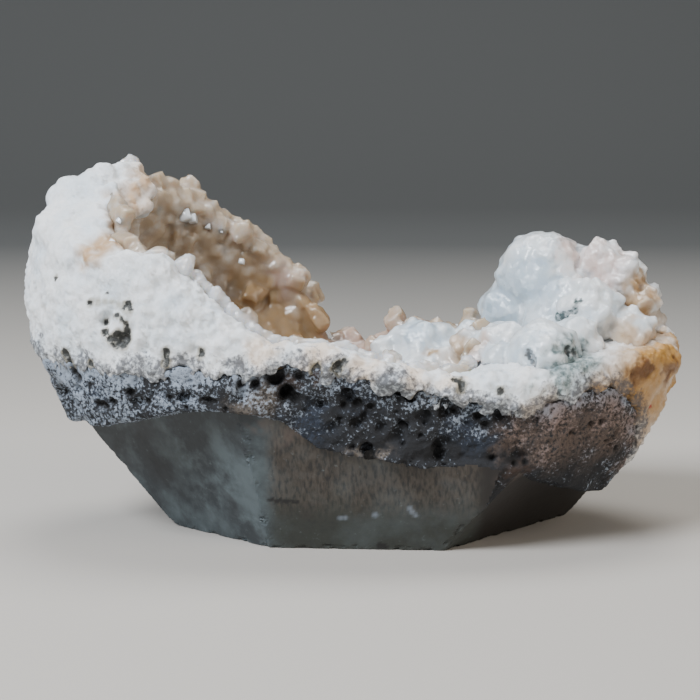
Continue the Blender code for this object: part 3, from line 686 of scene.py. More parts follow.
def scatter(points, rows, gap, random):
    """Those of the rows, taken in random order, whose points keep at least gap apart."""
    taken, kept = {}, []
    for row in rows[random.permutation(len(rows))]:
        p = points[row]
        cell = tuple((p // gap).astype(int))
        near = [
            taken[c] for dx in (-1, 0, 1) for dy in (-1, 0, 1) for dz in (-1, 0, 1)
            for c in ((cell[0] + dx, cell[1] + dy, cell[2] + dz),) if c in taken]
        if any(np.linalg.norm(points[other] - p) < gap for group in near for other in group):
            continue
        taken.setdefault(cell, []).append(row)
        kept.append(row)
    return np.array(kept)


def random_seats(points, normals, rows, sinks, widths, habit, random):
    """Seats for crystals of that habit, sunk below their feet and leaning a little out of their normals."""
    sinks, widths = (np.broadcast_to(values, len(points)) for values in (sinks, widths))
    seats = []
    for row in rows:
        width = widths[row] * random.uniform(*habit.widths)
        way = (Vector(normals[row]) + Vector(random.normal(0, habit.sway, 3))).normalized()
        seats.append(Seat(
            points[row] - normals[row] * sinks[row], way, random.uniform(0, pi), width,
            width * random.uniform(*habit.heights), radians(random.uniform(*habit.corners)),
            random.uniform(*habit.tapers), random.uniform(*habit.tips)))
    return seats


# ------------------------------------------------------------------- materials


def add_node(tree, kind, inputs=None, **settings):
    """Adds a node with its settings, and a value or a link for each input."""
    made = tree.nodes.new(kind)
    for key, value in settings.items():
        setattr(made, key, value)
    for key, value in (inputs or {}).items():
        if isinstance(value, bpy.types.NodeSocket):
            tree.links.new(value, made.inputs[key])
        else:
            made.inputs[key].default_value = value
    return made


def start_material(name, *zones):
    """A new material: its tree, the place on the object, and the zones stored on the mesh."""
    material = bpy.data.materials.new(name)
    material.use_nodes = True
    tree = material.node_tree
    tree.nodes.clear()
    place = add_node(tree, "ShaderNodeTexCoord").outputs["Object"]
    zone = {
        stored: add_node(tree, "ShaderNodeAttribute", attribute_name=stored).outputs["Fac"]
        for stored in zones}
    return material, tree, place, zone


def grained(tree, zone, grain, ranges):
    """Zones broken up by the grain: each name's range of zone times grain becomes 0 to its most."""
    broken = {}
    for name, low, high, most in ranges:
        amount = add_node(tree, MATH, {0: zone[name], 1: grain}, operation="MULTIPLY").outputs[0]
        broken[name] = add_node(tree, RANGE, {
            "Value": amount, "From Min": low, "From Max": high, "To Max": most}).outputs[0]
    return broken


def glinting_normal(tree, place, width, lean, bump):
    """The bumped normal, leaned another way on each facet of that width, so that they glint one by one."""
    facet = add_node(tree, CELLS, {"Vector": place, "Scale": 1 / width}).outputs["Color"]
    way = add_node(tree, VECTOR_MATH, {0: facet, 1: (-0.5, -0.5, -0.5)}, operation="ADD").outputs[0]
    way = add_node(tree, VECTOR_MATH, {0: way, "Scale": lean}, operation="SCALE").outputs[0]
    way = add_node(tree, VECTOR_MATH, {0: bump, 1: way}, operation="ADD").outputs[0]
    return add_node(tree, VECTOR_MATH, {0: way}, operation="NORMALIZE").outputs[0]


def broken_basalt(colours):
    """Basalt, broken and weathered: dull dark ground speckled with pale grains of half a millimetre,
    blue-grey clay in the hollows, and pinkish-brown weathering at the right."""
    material, tree, place, zone = start_material(
        "Basalt broken", "pale", "blue", "tan", "warm", "stain", "pit_shade")
    # Grains are 0.35 to 0.6 mm in the stone. They are drawn 0.75 mm wide so that they show.
    grain = add_node(tree, NOISE, {
        "Vector": place, "Scale": 1 / (0.75 * MM), "Detail": 4.0, "Roughness": 0.7}).outputs["Fac"]
    # Patches of 6 mm are richer or poorer in pale grains.
    patch = add_node(tree, NOISE, {"Vector": place, "Scale": 1 / (6 * MM), "Detail": 4.0}).outputs["Fac"]
    patch = add_node(tree, RANGE, {
        "Value": patch, "From Min": 0.3, "From Max": 0.7, "To Min": -0.13, "To Max": 0.11}).outputs[0]
    amount = add_node(tree, MATH, {0: grain, 1: patch}, operation="ADD").outputs[0]
    amount = add_node(tree, MATH, {0: amount, 1: zone["pale"]}, operation="ADD").outputs[0]
    amount = add_node(tree, RANGE, {"Value": amount, "From Min": 0.56, "From Max": 0.7}).outputs[0]
    grains = add_node(tree, MIX, {
        SHARE: zone["warm"], UNDER: colours.basalt_grain, OVER: colours.basalt_rose},
        data_type="RGBA").outputs[MIXED]
    dark = add_node(tree, RANGE, {
        "Value": grain, "From Min": 0.38, "From Max": 0.5, "To Min": 1.0, "To Max": 0.0}).outputs[0]
    colour = colours.basalt_dark
    # Pits and holes get painted shade in the hole colour.
    for mask, over in (
            (zone["blue"], colours.basalt_blue), (zone["tan"], colours.basalt_tan),
            (zone["warm"], colours.basalt_warm), (dark, colours.basalt_dark), (amount, grains),
            (zone["stain"], colours.basalt_rust), (zone["pit_shade"], colours.basalt_hole)):
        colour = add_node(
            tree, MIX, {SHARE: mask, UNDER: colour, OVER: over}, data_type="RGBA").outputs[MIXED]
    bump = add_node(tree, BUMP, {"Height": grain, "Strength": 1.0, "Distance": 0.5 * MM}).outputs[0]
    rough = add_node(tree, RANGE, {"Value": amount, "To Min": 0.85, "To Max": 0.45}).outputs[0]
    shader = add_node(tree, PRINCIPLED, {
        "Base Color": colour, "Normal": bump, "Roughness": rough, "IOR": 1.55})
    add_node(tree, OUTPUT, {"Surface": shader.outputs[0]})
    return material


def sawn_basalt(colours):
    """Basalt, sawn: smooth dull faces with fine upright blade marks on the front, pale clouds on the
    left cut, grey-green polish low down, and painted shade on the right cut and in patches of the left cut."""
    material, tree, place, zone = start_material(
        "Basalt sawn", "upper", "left", "cloudy", "deep", "marked", "right_cut_shade", "stain", "crack", "fleck")
    # Blade marks are about 0.5 mm apart. They are drawn 0.7 mm apart so that they show.
    stretched = add_node(tree, "ShaderNodeMapping", {"Vector": place, "Scale": (1.0, 1.0, 0.05)})
    marks = add_node(tree, NOISE, {
        "Vector": stretched.outputs[0], "Scale": 1 / (0.7 * MM), "Detail": 2.0}).outputs["Fac"]
    cloud = add_node(tree, NOISE, {
        "Vector": place, "Scale": 1 / (14 * MM), "Detail": 6.0, "Roughness": 0.62}).outputs["Fac"]
    fleck = add_node(tree, NOISE, {
        "Vector": place, "Scale": 1 / (1.4 * MM), "Detail": 4.0, "Roughness": 0.7}).outputs["Fac"]
    pale = add_node(tree, RANGE, {"Value": cloud, "From Min": 0.44, "From Max": 0.64}).outputs[0]
    pale = add_node(tree, MATH, {0: pale, 1: zone["cloudy"]}, operation="MULTIPLY").outputs[0]
    dots = add_node(tree, RANGE, {
        "Value": fleck, "From Min": 0.62, "From Max": 0.8, "To Max": 0.6}).outputs[0]
    shade = add_node(tree, RANGE, {
        "Value": fleck, "From Min": 0.3, "From Max": 0.5, "To Min": 0.45, "To Max": 0.0}).outputs[0]
    lines = add_node(tree, RANGE, {"Value": marks, "From Min": 0.35, "From Max": 0.65}).outputs[0]
    lines = add_node(tree, MATH, {0: lines, 1: zone["marked"]}, operation="MULTIPLY").outputs[0]
    bright = add_node(tree, MATH, {0: lines, 1: 0.3}, operation="MULTIPLY").outputs[0]
    furrow = add_node(tree, RANGE, {
        "Value": marks, "From Min": 0.28, "From Max": 0.46, "To Min": 0.5, "To Max": 0.0}).outputs[0]
    furrow = add_node(tree, MATH, {0: furrow, 1: zone["marked"]}, operation="MULTIPLY").outputs[0]
    colour = colours.sawn_green
    for mask, over in (
            (zone["upper"], colours.sawn_brown), (zone["left"], colours.sawn_blue),
            (shade, colours.basalt_dark), (pale, colours.sawn_cloud), (zone["deep"], colours.basalt_dark),
            (dots, colours.sawn_cloud), (bright, colours.basalt_tan), (furrow, colours.basalt_dark),
            (zone["right_cut_shade"], colours.sawn_right_shade), (zone["stain"], colours.basalt_warm),
            (zone["fleck"], colours.basalt_grain), (zone["crack"], colours.basalt_hole)):
        colour = add_node(
            tree, MIX, {SHARE: mask, UNDER: colour, OVER: over}, data_type="RGBA").outputs[MIXED]
    height = add_node(tree, MATH, {0: lines, 1: fleck}, operation="ADD").outputs[0]
    bump = add_node(tree, BUMP, {"Height": height, "Strength": 0.35, "Distance": 0.15 * MM}).outputs[0]
    rough = add_node(tree, RANGE, {"Value": fleck, "To Min": 0.6, "To Max": 0.5}).outputs[0]
    shader = add_node(tree, PRINCIPLED, {
        "Base Color": colour, "Normal": bump, "Roughness": rough, "IOR": 1.55})
    add_node(tree, OUTPUT, {"Surface": shader.outputs[0]})
    return material


def milky_chalcedony(colours):
    """Chalcedony, naturally grown: milky white with light sinking in a millimetre or so, sugary grain,
    grit where it meets the basalt and iron stain at the right end."""
    material, tree, place, zone = start_material(
        "Chalcedony natural", "grit", "cream", "beige", "ochre", "brown", "teal", "red", "pit_shade", "olive")
    # Sugar of about a millimetre, and cool or stained patches of 9 mm.
    sugar = add_node(tree, NOISE, {
        "Vector": place, "Scale": 1 / (1.0 * MM), "Detail": 4.0, "Roughness": 0.65}).outputs["Fac"]
    patch = add_node(tree, NOISE, {"Vector": place, "Scale": 1 / (9 * MM), "Detail": 5.0}).outputs["Fac"]
    cool = add_node(tree, RANGE, {"Value": patch, "From Min": 0.4, "From Max": 0.65}).outputs[0]
    grit = add_node(tree, MATH, {0: zone["grit"], 1: sugar}, operation="ADD").outputs[0]
    grit = add_node(tree, RANGE, {
        "Value": grit, "From Min": 0.96, "From Max": 1.2, "To Max": 0.85}).outputs[0]
    bands = grained(tree, zone, patch, (("brown", 0.25, 0.55, 1.0),))["brown"]
    wash = add_node(tree, MATH, {0: zone["teal"], 1: 0.6}, operation="MULTIPLY").outputs[0]
    # The pits get painted shade, broken up by the sugar.
    broken = grained(tree, zone, sugar, (("teal", 0.28, 0.6, 0.8), ("pit_shade", 0.22, 0.45, 0.95)))
    ochre = add_node(tree, RANGE, {
        "Value": patch, "From Min": 0.3, "From Max": 0.6, "To Min": 0.72, "To Max": 1.0}).outputs[0]
    ochre = add_node(tree, MATH, {0: ochre, 1: zone["ochre"]}, operation="MULTIPLY").outputs[0]
    colour = colours.rind_white
    for mask, over in (
            (cool, colours.rind_cool), (zone["cream"], colours.rind_cream),
            (zone["beige"], colours.rind_beige), (ochre, colours.rind_ochre), (bands, colours.rind_brown),
            (wash, colours.dome_wash), (broken["teal"], colours.dome_teal), (grit, colours.rind_grit),
            (zone["olive"], colours.pit_olive), (broken["pit_shade"], colours.pit_painted_shade),
            (zone["red"], colours.rind_red)):
        colour = add_node(
            tree, MIX, {SHARE: mask, UNDER: colour, OVER: over}, data_type="RGBA").outputs[MIXED]
    bump = add_node(tree, BUMP, {"Height": sugar, "Strength": 0.7, "Distance": 0.4 * MM}).outputs[0]
    rough = add_node(tree, RANGE, {"Value": sugar, "To Min": 0.62, "To Max": 0.4}).outputs[0]
    depth = add_node(tree, RANGE, {"Value": zone["grit"], "To Min": 0.55, "To Max": 0.0}).outputs[0]
    shader = add_node(tree, PRINCIPLED, {
        "Base Color": colour, "Normal": glinting_normal(tree, place, 0.8 * MM, 0.5, bump),
        "Roughness": rough, "Subsurface Weight": depth, "Subsurface Radius": (1.0, 0.95, 0.9),
        "Subsurface Scale": 1.6 * MM, "IOR": 1.54})
    add_node(tree, OUTPUT, {"Surface": shader.outputs[0]})
    return material


def frosted_crystal(colours):
    """Quartz, naturally grown crystals: glassy grey-beige faces, cloudy inside, honey-brown deep in
    the hollow, partly their own colour and partly painted shade, with light passing through the thin tips."""
    material, tree, place, zone = start_material(
        "Quartz crystal frosted", "tan", "pink", "brown", "white")
    # Milky clouds as wide as a crystal, and frost drawn 0.7 mm wide so that it shows.
    cloud = add_node(tree, NOISE, {"Vector": place, "Scale": 1 / (4 * MM), "Detail": 4.0}).outputs["Fac"]
    cloudy = add_node(tree, RANGE, {
        "Value": cloud, "From Min": 0.45, "From Max": 0.72, "To Max": 0.45}).outputs[0]
    frost = add_node(tree, NOISE, {"Vector": place, "Scale": 1 / (0.7 * MM), "Detail": 3.0}).outputs["Fac"]
    colour = colours.crystal_grey
    for mask, over in (
            (cloudy, colours.crystal_white), (zone["tan"], colours.crystal_tan),
            (zone["pink"], colours.crystal_pink), (zone["brown"], colours.crystal_brown_and_shade),
            (zone["white"], colours.crystal_white)):
        colour = add_node(
            tree, MIX, {SHARE: mask, UNDER: colour, OVER: over}, data_type="RGBA").outputs[MIXED]
    bump = add_node(tree, BUMP, {"Height": frost, "Strength": 0.18, "Distance": 0.3 * MM}).outputs[0]
    rough = add_node(tree, RANGE, {"Value": frost, "To Min": 0.1, "To Max": 0.3}).outputs[0]
    shader = add_node(tree, PRINCIPLED, {
        "Base Color": colour, "Normal": bump, "Roughness": rough, "Transmission Weight": 0.3,
        "Subsurface Weight": 0.9, "Subsurface Radius": (1.0, 0.85, 0.68), "Subsurface Scale": 4.5 * MM,
        "IOR": 1.545})
    add_node(tree, OUTPUT, {"Surface": shader.outputs[0]})
    return material


def bright_crystal(colours):
    """Quartz, single clear crystals with natural mirror-like faces: they flash white among frosted ones,
    partly by their glossy coat and partly by their white base colour, which is painted highlight.
    """
    material, tree, place, _ = start_material("Quartz crystal glinting")
    # Growth steps on the faces, drawn 0.8 mm wide so that they show.
    steps = add_node(tree, NOISE, {"Vector": place, "Scale": 1 / (0.8 * MM), "Detail": 2.0}).outputs["Fac"]
    # Their white base colour is painted highlight on clear crystals.
    colour = add_node(tree, MIX, {
        SHARE: steps, UNDER: colours.crystal_white, OVER: colours.rind_cool},
        data_type="RGBA").outputs[MIXED]
    rough = add_node(tree, RANGE, {"Value": steps, "To Min": 0.05, "To Max": 0.2}).outputs[0]
    shader = add_node(tree, PRINCIPLED, {
        "Base Color": colour, "Roughness": rough, "Coat Weight": 1.0, "Coat Roughness": 0.05, "IOR": 1.545})
    add_node(tree, OUTPUT, {"Surface": shader.outputs[0]})
    return material


def milky_crystal(colours):
    """Apophyllite, naturally grown clusters: milky white to pale blue, glassy facets a millimetre or
    so wide that glint one by one, and tan or teal grains where other minerals grew in."""
    material, tree, place, zone = start_material(
        "Apophyllite cluster milky", "teal", "inclusion", "blue", "pink", "beige", "tan", "pit_shade")
    # Cool patches of 8 mm, and grains of about a millimetre.
    patch = add_node(tree, NOISE, {"Vector": place, "Scale": 1 / (8 * MM), "Detail": 4.0}).outputs["Fac"]
    grain = add_node(tree, NOISE, {"Vector": place, "Scale": 1 / (1.0 * MM), "Detail": 4.0}).outputs["Fac"]
    cool = add_node(tree, RANGE, {
        "Value": patch, "From Min": 0.45, "From Max": 0.7, "To Max": 0.5}).outputs[0]
    wash = add_node(tree, MATH, {0: zone["teal"], 1: 0.6}, operation="MULTIPLY").outputs[0]
    # The pits get painted shade, broken up by the grain.
    broken = grained(tree, zone, grain, (
        ("teal", 0.28, 0.6, 0.8), ("pit_shade", 0.3, 0.52, 0.8), ("inclusion", 0.22, 0.5, 1.0)))
    colour = colours.dome_white
    for mask, over in (
            (cool, colours.dome_blue), (zone["blue"], colours.dome_blue), (zone["pink"], colours.dome_pink),
            (zone["beige"], colours.dome_beige), (zone["tan"], colours.dome_tan),
            (wash, colours.dome_wash), (broken["teal"], colours.dome_teal),
            (broken["inclusion"], colours.dome_teal), (broken["pit_shade"], colours.pit_painted_shade)):
        colour = add_node(
            tree, MIX, {SHARE: mask, UNDER: colour, OVER: over}, data_type="RGBA").outputs[MIXED]
    bump = add_node(tree, BUMP, {"Height": grain, "Strength": 0.25, "Distance": 0.3 * MM}).outputs[0]
    rough = add_node(tree, RANGE, {"Value": grain, "To Min": 0.22, "To Max": 0.42}).outputs[0]
    shader = add_node(tree, PRINCIPLED, {
        "Base Color": colour, "Normal": glinting_normal(tree, place, 1.6 * MM, 0.55, bump),
        "Roughness": rough, "Transmission Weight": 0.15, "Subsurface Weight": 0.8,
        "Subsurface Radius": (0.9, 0.95, 1.0), "Subsurface Scale": 3 * MM, "Coat Weight": 0.6,
        "Coat Roughness": 0.12, "IOR": 1.535})
    add_node(tree, OUTPUT, {"Surface": shader.outputs[0]})
    return material


def matt_paper(colours):
    """Paper, matt and seamless: pale floor that darkens into the grey backdrop, with a faint tooth."""
    material, tree, place, _ = start_material("Paper matt")
    away = add_node(tree, "ShaderNodeSeparateXYZ", {0: place}).outputs["Y"]
    fade = add_node(tree, RANGE, {"Value": away, "From Min": 0.1, "From Max": 0.6}).outputs[0]
    colour = add_node(tree, MIX, {
        SHARE: fade, UNDER: colours.floor, OVER: colours.backdrop}, data_type="RGBA").outputs[MIXED]
    # Fibres are drawn 1.1 mm wide so that they show.
    fibre = add_node(tree, NOISE, {"Vector": place, "Scale": 900.0, "Detail": 2.0}).outputs["Fac"]
    bump = add_node(tree, BUMP, {"Height": fibre, "Strength": 0.05, "Distance": 0.1 * MM}).outputs[0]
    shader = add_node(tree, PRINCIPLED, {"Base Color": colour, "Normal": bump, "Roughness": 0.9})
    add_node(tree, OUTPUT, {"Surface": shader.outputs[0]})
    return material


# --------------------------------------------------------------------- pieces


def saw_cuts():
    """The flat cuts of the basalt as (normal, distance), and for each of its faces the cut it lies in,
    or -1."""
    # How nearly parallel and how nearly flush the faces of one cut are, and the same for a bevel.
    parallel, flush, bevel_parallel, bevel_flush = 0.9995, 0.3 * MM, 0.9, 1.2 * MM
    most_upward = 0.2
    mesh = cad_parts["basalt_matrix"].data
    groups = []
    for face in sorted(mesh.polygons, key=lambda f: -f.area):
        normal, far = face.normal.copy(), face.normal.dot(face.center)
        for group in groups:
            if group["normal"].dot(normal) > parallel and abs(group["far"] - far) < flush:
                group["area"] += face.area
                group["faces"].append(face.index)
                break
        else:
            groups.append({"normal": normal, "far": far, "area": face.area, "faces": [face.index]})
    cuts, owner = [], np.full(len(mesh.polygons), -1)
    for group in groups:
        if group["area"] > CUT_AREA and group["normal"].z < most_upward:
            owner[group["faces"]] = len(cuts)
            cuts.append((np.array(group["normal"]), group["far"]))
    # Narrow bevels between the cuts, low on the stone, belong to the cut whose plane they hardly leave.
    for face in mesh.polygons:
        if face.center.z >= BEVEL_TOP:
            continue
        for k, (normal, far) in enumerate(cuts):
            if owner[face.index] < 0 and face.normal.dot(normal) > bevel_parallel and all(
                    abs(mesh.vertices[i].co.dot(normal) - far) < bevel_flush for i in face.vertices):
                owner[face.index] = k
    return cuts, owner


def broken_share(sawn, edges):
    """How far each point is out of the saw cuts, 0 in them and 1 a few steps away."""
    from_cut = sawn.astype(float)
    for _ in range(CUT_EDGE_STEPS):
        from_cut = np.maximum(from_cut, neighbour_mean(from_cut[:, None], edges)[:, 0])
    return 1 - smooth_step(from_cut, 0.02, 0.6)


class GEODE_OT_basalt(bpy.types.Operator):
    """Dresses the basalt: rough broken flank full of pits, and flat sawn faces"""
    bl_idname = "geode.basalt"
    bl_label = "Basalt"

    def execute(self, context):
        shapes, colours = context.scene.geode_shapes, context.scene.geode_colours
        item = fine_skin("basalt_matrix", "basalt_body", shapes.skin_step)
        drop_hidden(item, solid_tree("chalcedony_rind", "crystal_lining"), BASALT_PRESSED, margin=7)
        mesh = item.data
        points, edges = read_points(mesh), read_edges(mesh)
        cuts, owner = saw_cuts()
        tree = solid_tree("basalt_matrix")
        cut_of = np.array([owner[tree.find_nearest(p)[2]] for p in points.tolist()])
        sawn = cut_of >= 0
        natural = broken_share(sawn, edges)
        smoothed = move_places(relax(points, edges, 10), BAND_TRIM)
        points = np.where(sawn[:, None], points, smoothed)
        write_points(mesh, points)
        normals = read_normals(mesh)
        middle = smooth_step(points[:, 0], -18 * MM, -8 * MM) * (
            1 - smooth_step(points[:, 0], 30 * MM, 38 * MM))
        relief, holes = self.broken_relief(points, middle, shapes)
        points = points + normals * (relief * natural)[:, None]
        pressed, pit_shade = press_pits(points, normals, BASALT_PITS, 1.4)
        points = np.where(sawn[:, None], points, pressed)
        for k, (normal, far) in enumerate(cuts):
            rows = cut_of == k
            points[rows] -= (points[rows] @ normal - far)[:, None] * normal
        points = self.chip_edges(points, normals, edges, cut_of, shapes.edge_chip)
        points[:, 2] = np.maximum(points[:, 2], 0)
        write_points(mesh, points)
        # The pits and holes, out of the saw cuts, get painted shade.
        store_zones(mesh, self.find_zones(points, np.maximum(pit_shade, holes) * natural, middle))
        finish_piece(item, "basalt_matrix", "basalt", broken_basalt(colours), sawn_basalt(colours))
        flat = np.array([all(sawn[i] for i in face.vertices) for face in mesh.polygons])
        mesh.polygons.foreach_set("material_index", flat.astype(np.int32))
        mesh.polygons.foreach_set("use_smooth", ~flat)
        mesh.update()
        return {"FINISHED"}

    def broken_relief(self, points, middle, shapes):
        """Grit with small holes, and wide ones in the middle. Returns it and the painted shade of the
        holes.
        """
        grit = fractal_field(points, 2.2 * MM, 4) * shapes.basalt_grit
        grit += fractal_field(points, 7 * MM, 2, 5.3) * shapes.basalt_grit * 1.6
        holed = smooth_step(fractal_field(points, 10 * MM, 2, 9.0), -0.15, 0.45)
        sockets = (1 - smooth_step(cell_field(points, 2.4 * MM, 2.1), 0.14, 0.36)) * holed
        wide = (1 - smooth_step(cell_field(points, 5 * MM, 5.1), 0.2, 0.34)) * middle
        return grit - sockets * 1.1 * MM - wide * 1.8 * MM, np.maximum(sockets, wide) * 0.85

    def chip_edges(self, points, normals, edges, cut_of, depth):
        """Chips the edges between two saw cuts here and there."""
        sides = cut_of[edges]
        between = (sides >= 0).all(1) & (sides[:, 0] != sides[:, 1])
        ridge = np.zeros(len(points), bool)
        ridge[edges[between].ravel()] = True
        chip = np.maximum(fractal_field(points, 3 * MM, 3, 6.0), 0) * spread(ridge, edges, 1)
        return points - normals * (chip * depth)[:, None]

    def find_zones(self, points, pit_shade, middle):
        """How much each colour or pattern of the stone holds at every point."""
        wobble = fractal_field(points, 5 * MM, 3, 3.0) * 4 * MM
        shifted = points + wobble[:, None]
        x, z = points[:, 0], points[:, 2]
        rind_far = nearness(points, solid_tree("chalcedony_rind"), 8 * MM)
        left = smooth_step(-x, 16 * MM, 20 * MM)
        right = smooth_step(x, 26 * MM, 30 * MM)
        under_rind = 0.14 * (1 - smooth_step(rind_far, 0.5 * MM, 8 * MM))
        return {
            # Painted shade in the pits and holes.
            "pit_shade": pit_shade,
            "blue": blobs(shifted, BLUE_CLUMPS) * 0.75,
            "stain": blobs(shifted, BROWN_STAINS) * 0.5,
            "tan": blobs(shifted, TAN_GRIT) * 0.8,
            "warm": blobs(shifted, WARM_RIGHT),
            "pale": under_rind - 0.02 + 0.07 * smooth_step(-x, 15 * MM, 35 * MM)
            + 0.05 * smooth_step(-x, 46 * MM, 60 * MM) - 0.03 * middle,
            "upper": smooth_step(z + wobble, 4 * MM, 17 * MM),
            "left": left,
            "cloudy": 0.2 + 0.8 * left * np.maximum(blobs(shifted, CLOUDED_CUT), 0.35),
            # Patches of painted shade in the left cut.
            "deep": blobs(shifted, SHADED_CUT) * 0.7,
            "crack": smooth_step(blobs(points, SAW_CRACK), 0.1, 0.6) * 0.9,
            "fleck": blobs(points, SAW_FLECKS) * 0.45,
            # The right cut is painted dark as shade.
            "right_cut_shade": right * 0.92,
            "marked": (1 - left) * (1 - right) * smooth_step(z, 6 * MM, 14 * MM),
        }


class GEODE_OT_rind(bpy.types.Operator):
    """Dresses the rind: soft milky lumps, sugary grain, pits darkened by painted shade and an iron-stained
    end
    """
    bl_idname = "geode.rind"
    bl_label = "Rind"

    def execute(self, context):
        shapes, colours = context.scene.geode_shapes, context.scene.geode_colours
        random = np.random.default_rng(shapes.seed + 2)
        item = fine_skin("chalcedony_rind", "rind_crust", shapes.skin_step)
        behind = solid_tree("basalt_matrix", "crystal_lining")
        points, normals = read_points(item.data), read_normals(item.data)
        rim = (nearness(points, behind, 2 * MM) > PRESSED) & (blobs(points, CRYSTALLED_RIM) > 0.2)
        rows = scatter(points, np.flatnonzero(rim), shapes.crystal_gap, random)
        seats = random_seats(
            points, normals, rows, shapes.crystal_sink, shapes.crystal_size, RIM_BLOCKS, random)
        seats += [
            Seat(Vector((x, y, z)) * MM, Vector(way).normalized(), turn=0.4, width=width * MM,
                 height=0.3 * width * MM, corner=radians(38), taper=0.9, tip=0.6)
            for (x, y, z, width), way in CREST_LUMPS]
        grow_crystals(item, seats)
        even_skin(item, shapes.skin_step)
        drop_hidden(item, behind, PRESSED, margin=6)
        mesh = item.data
        points, edges = read_points(mesh), read_edges(mesh)
        points = soften(relax(points, edges, 12), edges, RIND_SOFT)
        points = move_places(points, RIND_SWELLINGS)
        write_points(mesh, points)
        normals = read_normals(mesh)
        # The sugar is calmer on the high lobe at the left.
        calm = 0.35 + 0.65 * smooth_step(-points[:, 2], -70 * MM, -58 * MM)
        lift = fractal_field(points, 9 * MM, 2) * shapes.rind_lump
        lift = lift + lump_field(points, 3.4 * MM, 4.0) * 1.1 * MM
        lift = lift + lump_field(points, 1.5 * MM, 7.0) * shapes.rind_sugar * 1.8 * calm
        lift += fractal_field(points, 1.3 * MM, 2, 1.7) * shapes.rind_sugar * calm
        points = points + normals * lift[:, None]
        points, pit_shade = press_pits(points, normals, RIND_PITS, 1.0)
        points[:, 2] = np.minimum(points[:, 2], CAD_BOX[1].z + RIND_OVER)
        basalt = solid_tree("basalt_matrix")
        points = run_down(points, basalt, shapes.rind_run)
        write_points(mesh, points)
        wobble = fractal_field(points, 5 * MM, 3, 3.0) * 3 * MM
        shifted = points + wobble[:, None]
        stone = nearness(points, basalt, 9 * MM)
        stained = blobs(points + 0.15 * wobble[:, None], OLIVE_STAINS)
        store_zones(mesh, {
            "grit": 0.68 * (1 - smooth_step(stone + wobble, 0.3 * MM, 8 * MM)),
            "cream": blobs(shifted, CREAM_RIM) * 0.8,
            "beige": blobs(shifted, WARM_CREST),
            "ochre": blobs(shifted, OCHRE_END),
            "brown": blobs(shifted, BROWN_BANDS),
            "teal": blobs(shifted, TEAL_GRAIN),
            "red": smooth_step(blobs(points, RED_SPECK), 0.3, 0.8),
            # Painted shade in the pits.
            "pit_shade": smooth_step(pit_shade, 0.35, 0.85),
            "olive": np.maximum(smooth_step(pit_shade, 0.02, 0.4), stained) * 0.6,
        })
        shade_smooth(item)
        finish_piece(item, "chalcedony_rind", "chalcedony", milky_chalcedony(colours))
        return {"FINISHED"}


class GEODE_OT_lining(bpy.types.Operator):
    """Grows the crystals of the hollow on their crust"""
    bl_idname = "geode.lining"
    bl_label = "Hollow crystals"

    def execute(self, context):
        shapes, colours = context.scene.geode_shapes, context.scene.geode_colours
        random = np.random.default_rng(shapes.seed)
        item = fine_skin("crystal_lining", "hollow_crystals", shapes.skin_step)
        behind = solid_tree("basalt_matrix", "chalcedony_rind")
        mesh = item.data
        points = move_places(relax(read_points(mesh), read_edges(mesh), 3), LINING_DIPS)
        write_points(mesh, points)
        lumps = lump_field(points, 3.6 * MM, 3.0) * shapes.crust_lump
        points += read_normals(mesh) * lumps[:, None]
        write_points(mesh, points)
        normals = read_normals(mesh)
        open_crust = nearness(points, behind, 2.6 * MM) > 1.7 * MM
        rows = np.flatnonzero(open_crust & (points[:, 2] < CAD_BOX[1].z - CREST_ROOM))
        rows = scatter(points, rows, shapes.crystal_gap, random)
        bare = blobs(points[rows], BARE_CRUST) > random.uniform(0.45, 1.3, len(rows))
        bare |= blobs(points[rows], WHITE_LIP) > 0.45
        sinks = shapes.crystal_sink * (1 + 1.3 * blobs(points, LOW_RIM))
        widths = shapes.crystal_size * (1 - 0.5 * blobs(points, WHITE_LIP))
        grow_crystals(item, random_seats(
            points, normals, rows[~bare], sinks, widths, HOLLOW_BLOCKS, random))
        even_skin(item, shapes.hollow_step)
        mesh = item.data
        points = relax(read_points(mesh), read_edges(mesh), 1)
        write_points(mesh, points)
        bumps = lump_field(points, 1.7 * MM, 5.0) * 1.2 + fractal_field(points, 3 * MM, 3, 8.0) * 0.9
        swell = (bumps * shapes.rind_lump + LIP_SWELL) * blobs(points, WHITE_LIP)
        write_points(mesh, points + read_normals(mesh) * swell[:, None])
        drop_hidden(item, behind, PRESSED, margin=5)
        count = len(mesh.vertices)
        grow_crystals(item, self.bright_seats(random))
        points = read_points(mesh)
        wobble = fractal_field(points, 6 * MM, 2, 3.0) * 4 * MM
        shifted = points + wobble[:, None]
        store_zones(mesh, {
            # Brown: partly the crystals' own colour and partly painted shade deep in the hollow.
            "brown": blobs(shifted, HOLLOW_BROWN_AND_SHADE) * 0.85,
            "tan": blobs(shifted, HOLLOW_TAN) * 0.9,
            "pink": blobs(shifted, HOLLOW_PINK) * 0.8,
            "white": blobs(points + 0.3 * wobble[:, None], WHITE_LIP) * 0.95,
        })
        starts = read_rows(mesh.polygons, "loop_start", np.int32, 1)[:, 0]
        corners = read_rows(mesh.loops, "vertex_index", np.int32, 1)[:, 0]
        frosted = corners[starts] < count
        finish_piece(
            item, "crystal_lining", "tan_crystal", frosted_crystal(colours), bright_crystal(colours))
        mesh.polygons.foreach_set("use_smooth", frosted)
        mesh.polygons.foreach_set("material_index", (~frosted).astype(np.int32))
        mesh.set_sharp_from_angle(angle=radians(30))
        return {"FINISHED"}

    def bright_seats(self, random):
        """Seats for the brightest crystals, which face halfway between the key light and the camera."""
        seats = []
        for x, y, z, size in BRIGHT_CRYSTALS:
            spot = Vector((x, y - 0.4, z)) * MM
            way = (KEY_PLACE - spot).normalized() + (CAMERA_PLACE - spot).normalized()
            seats.append(Seat(
                spot, way.normalized(), random.uniform(0, pi), width=1.1 * size * MM,
                height=0.35 * size * MM, corner=radians(38), taper=0.8, tip=0.6))
        return seats


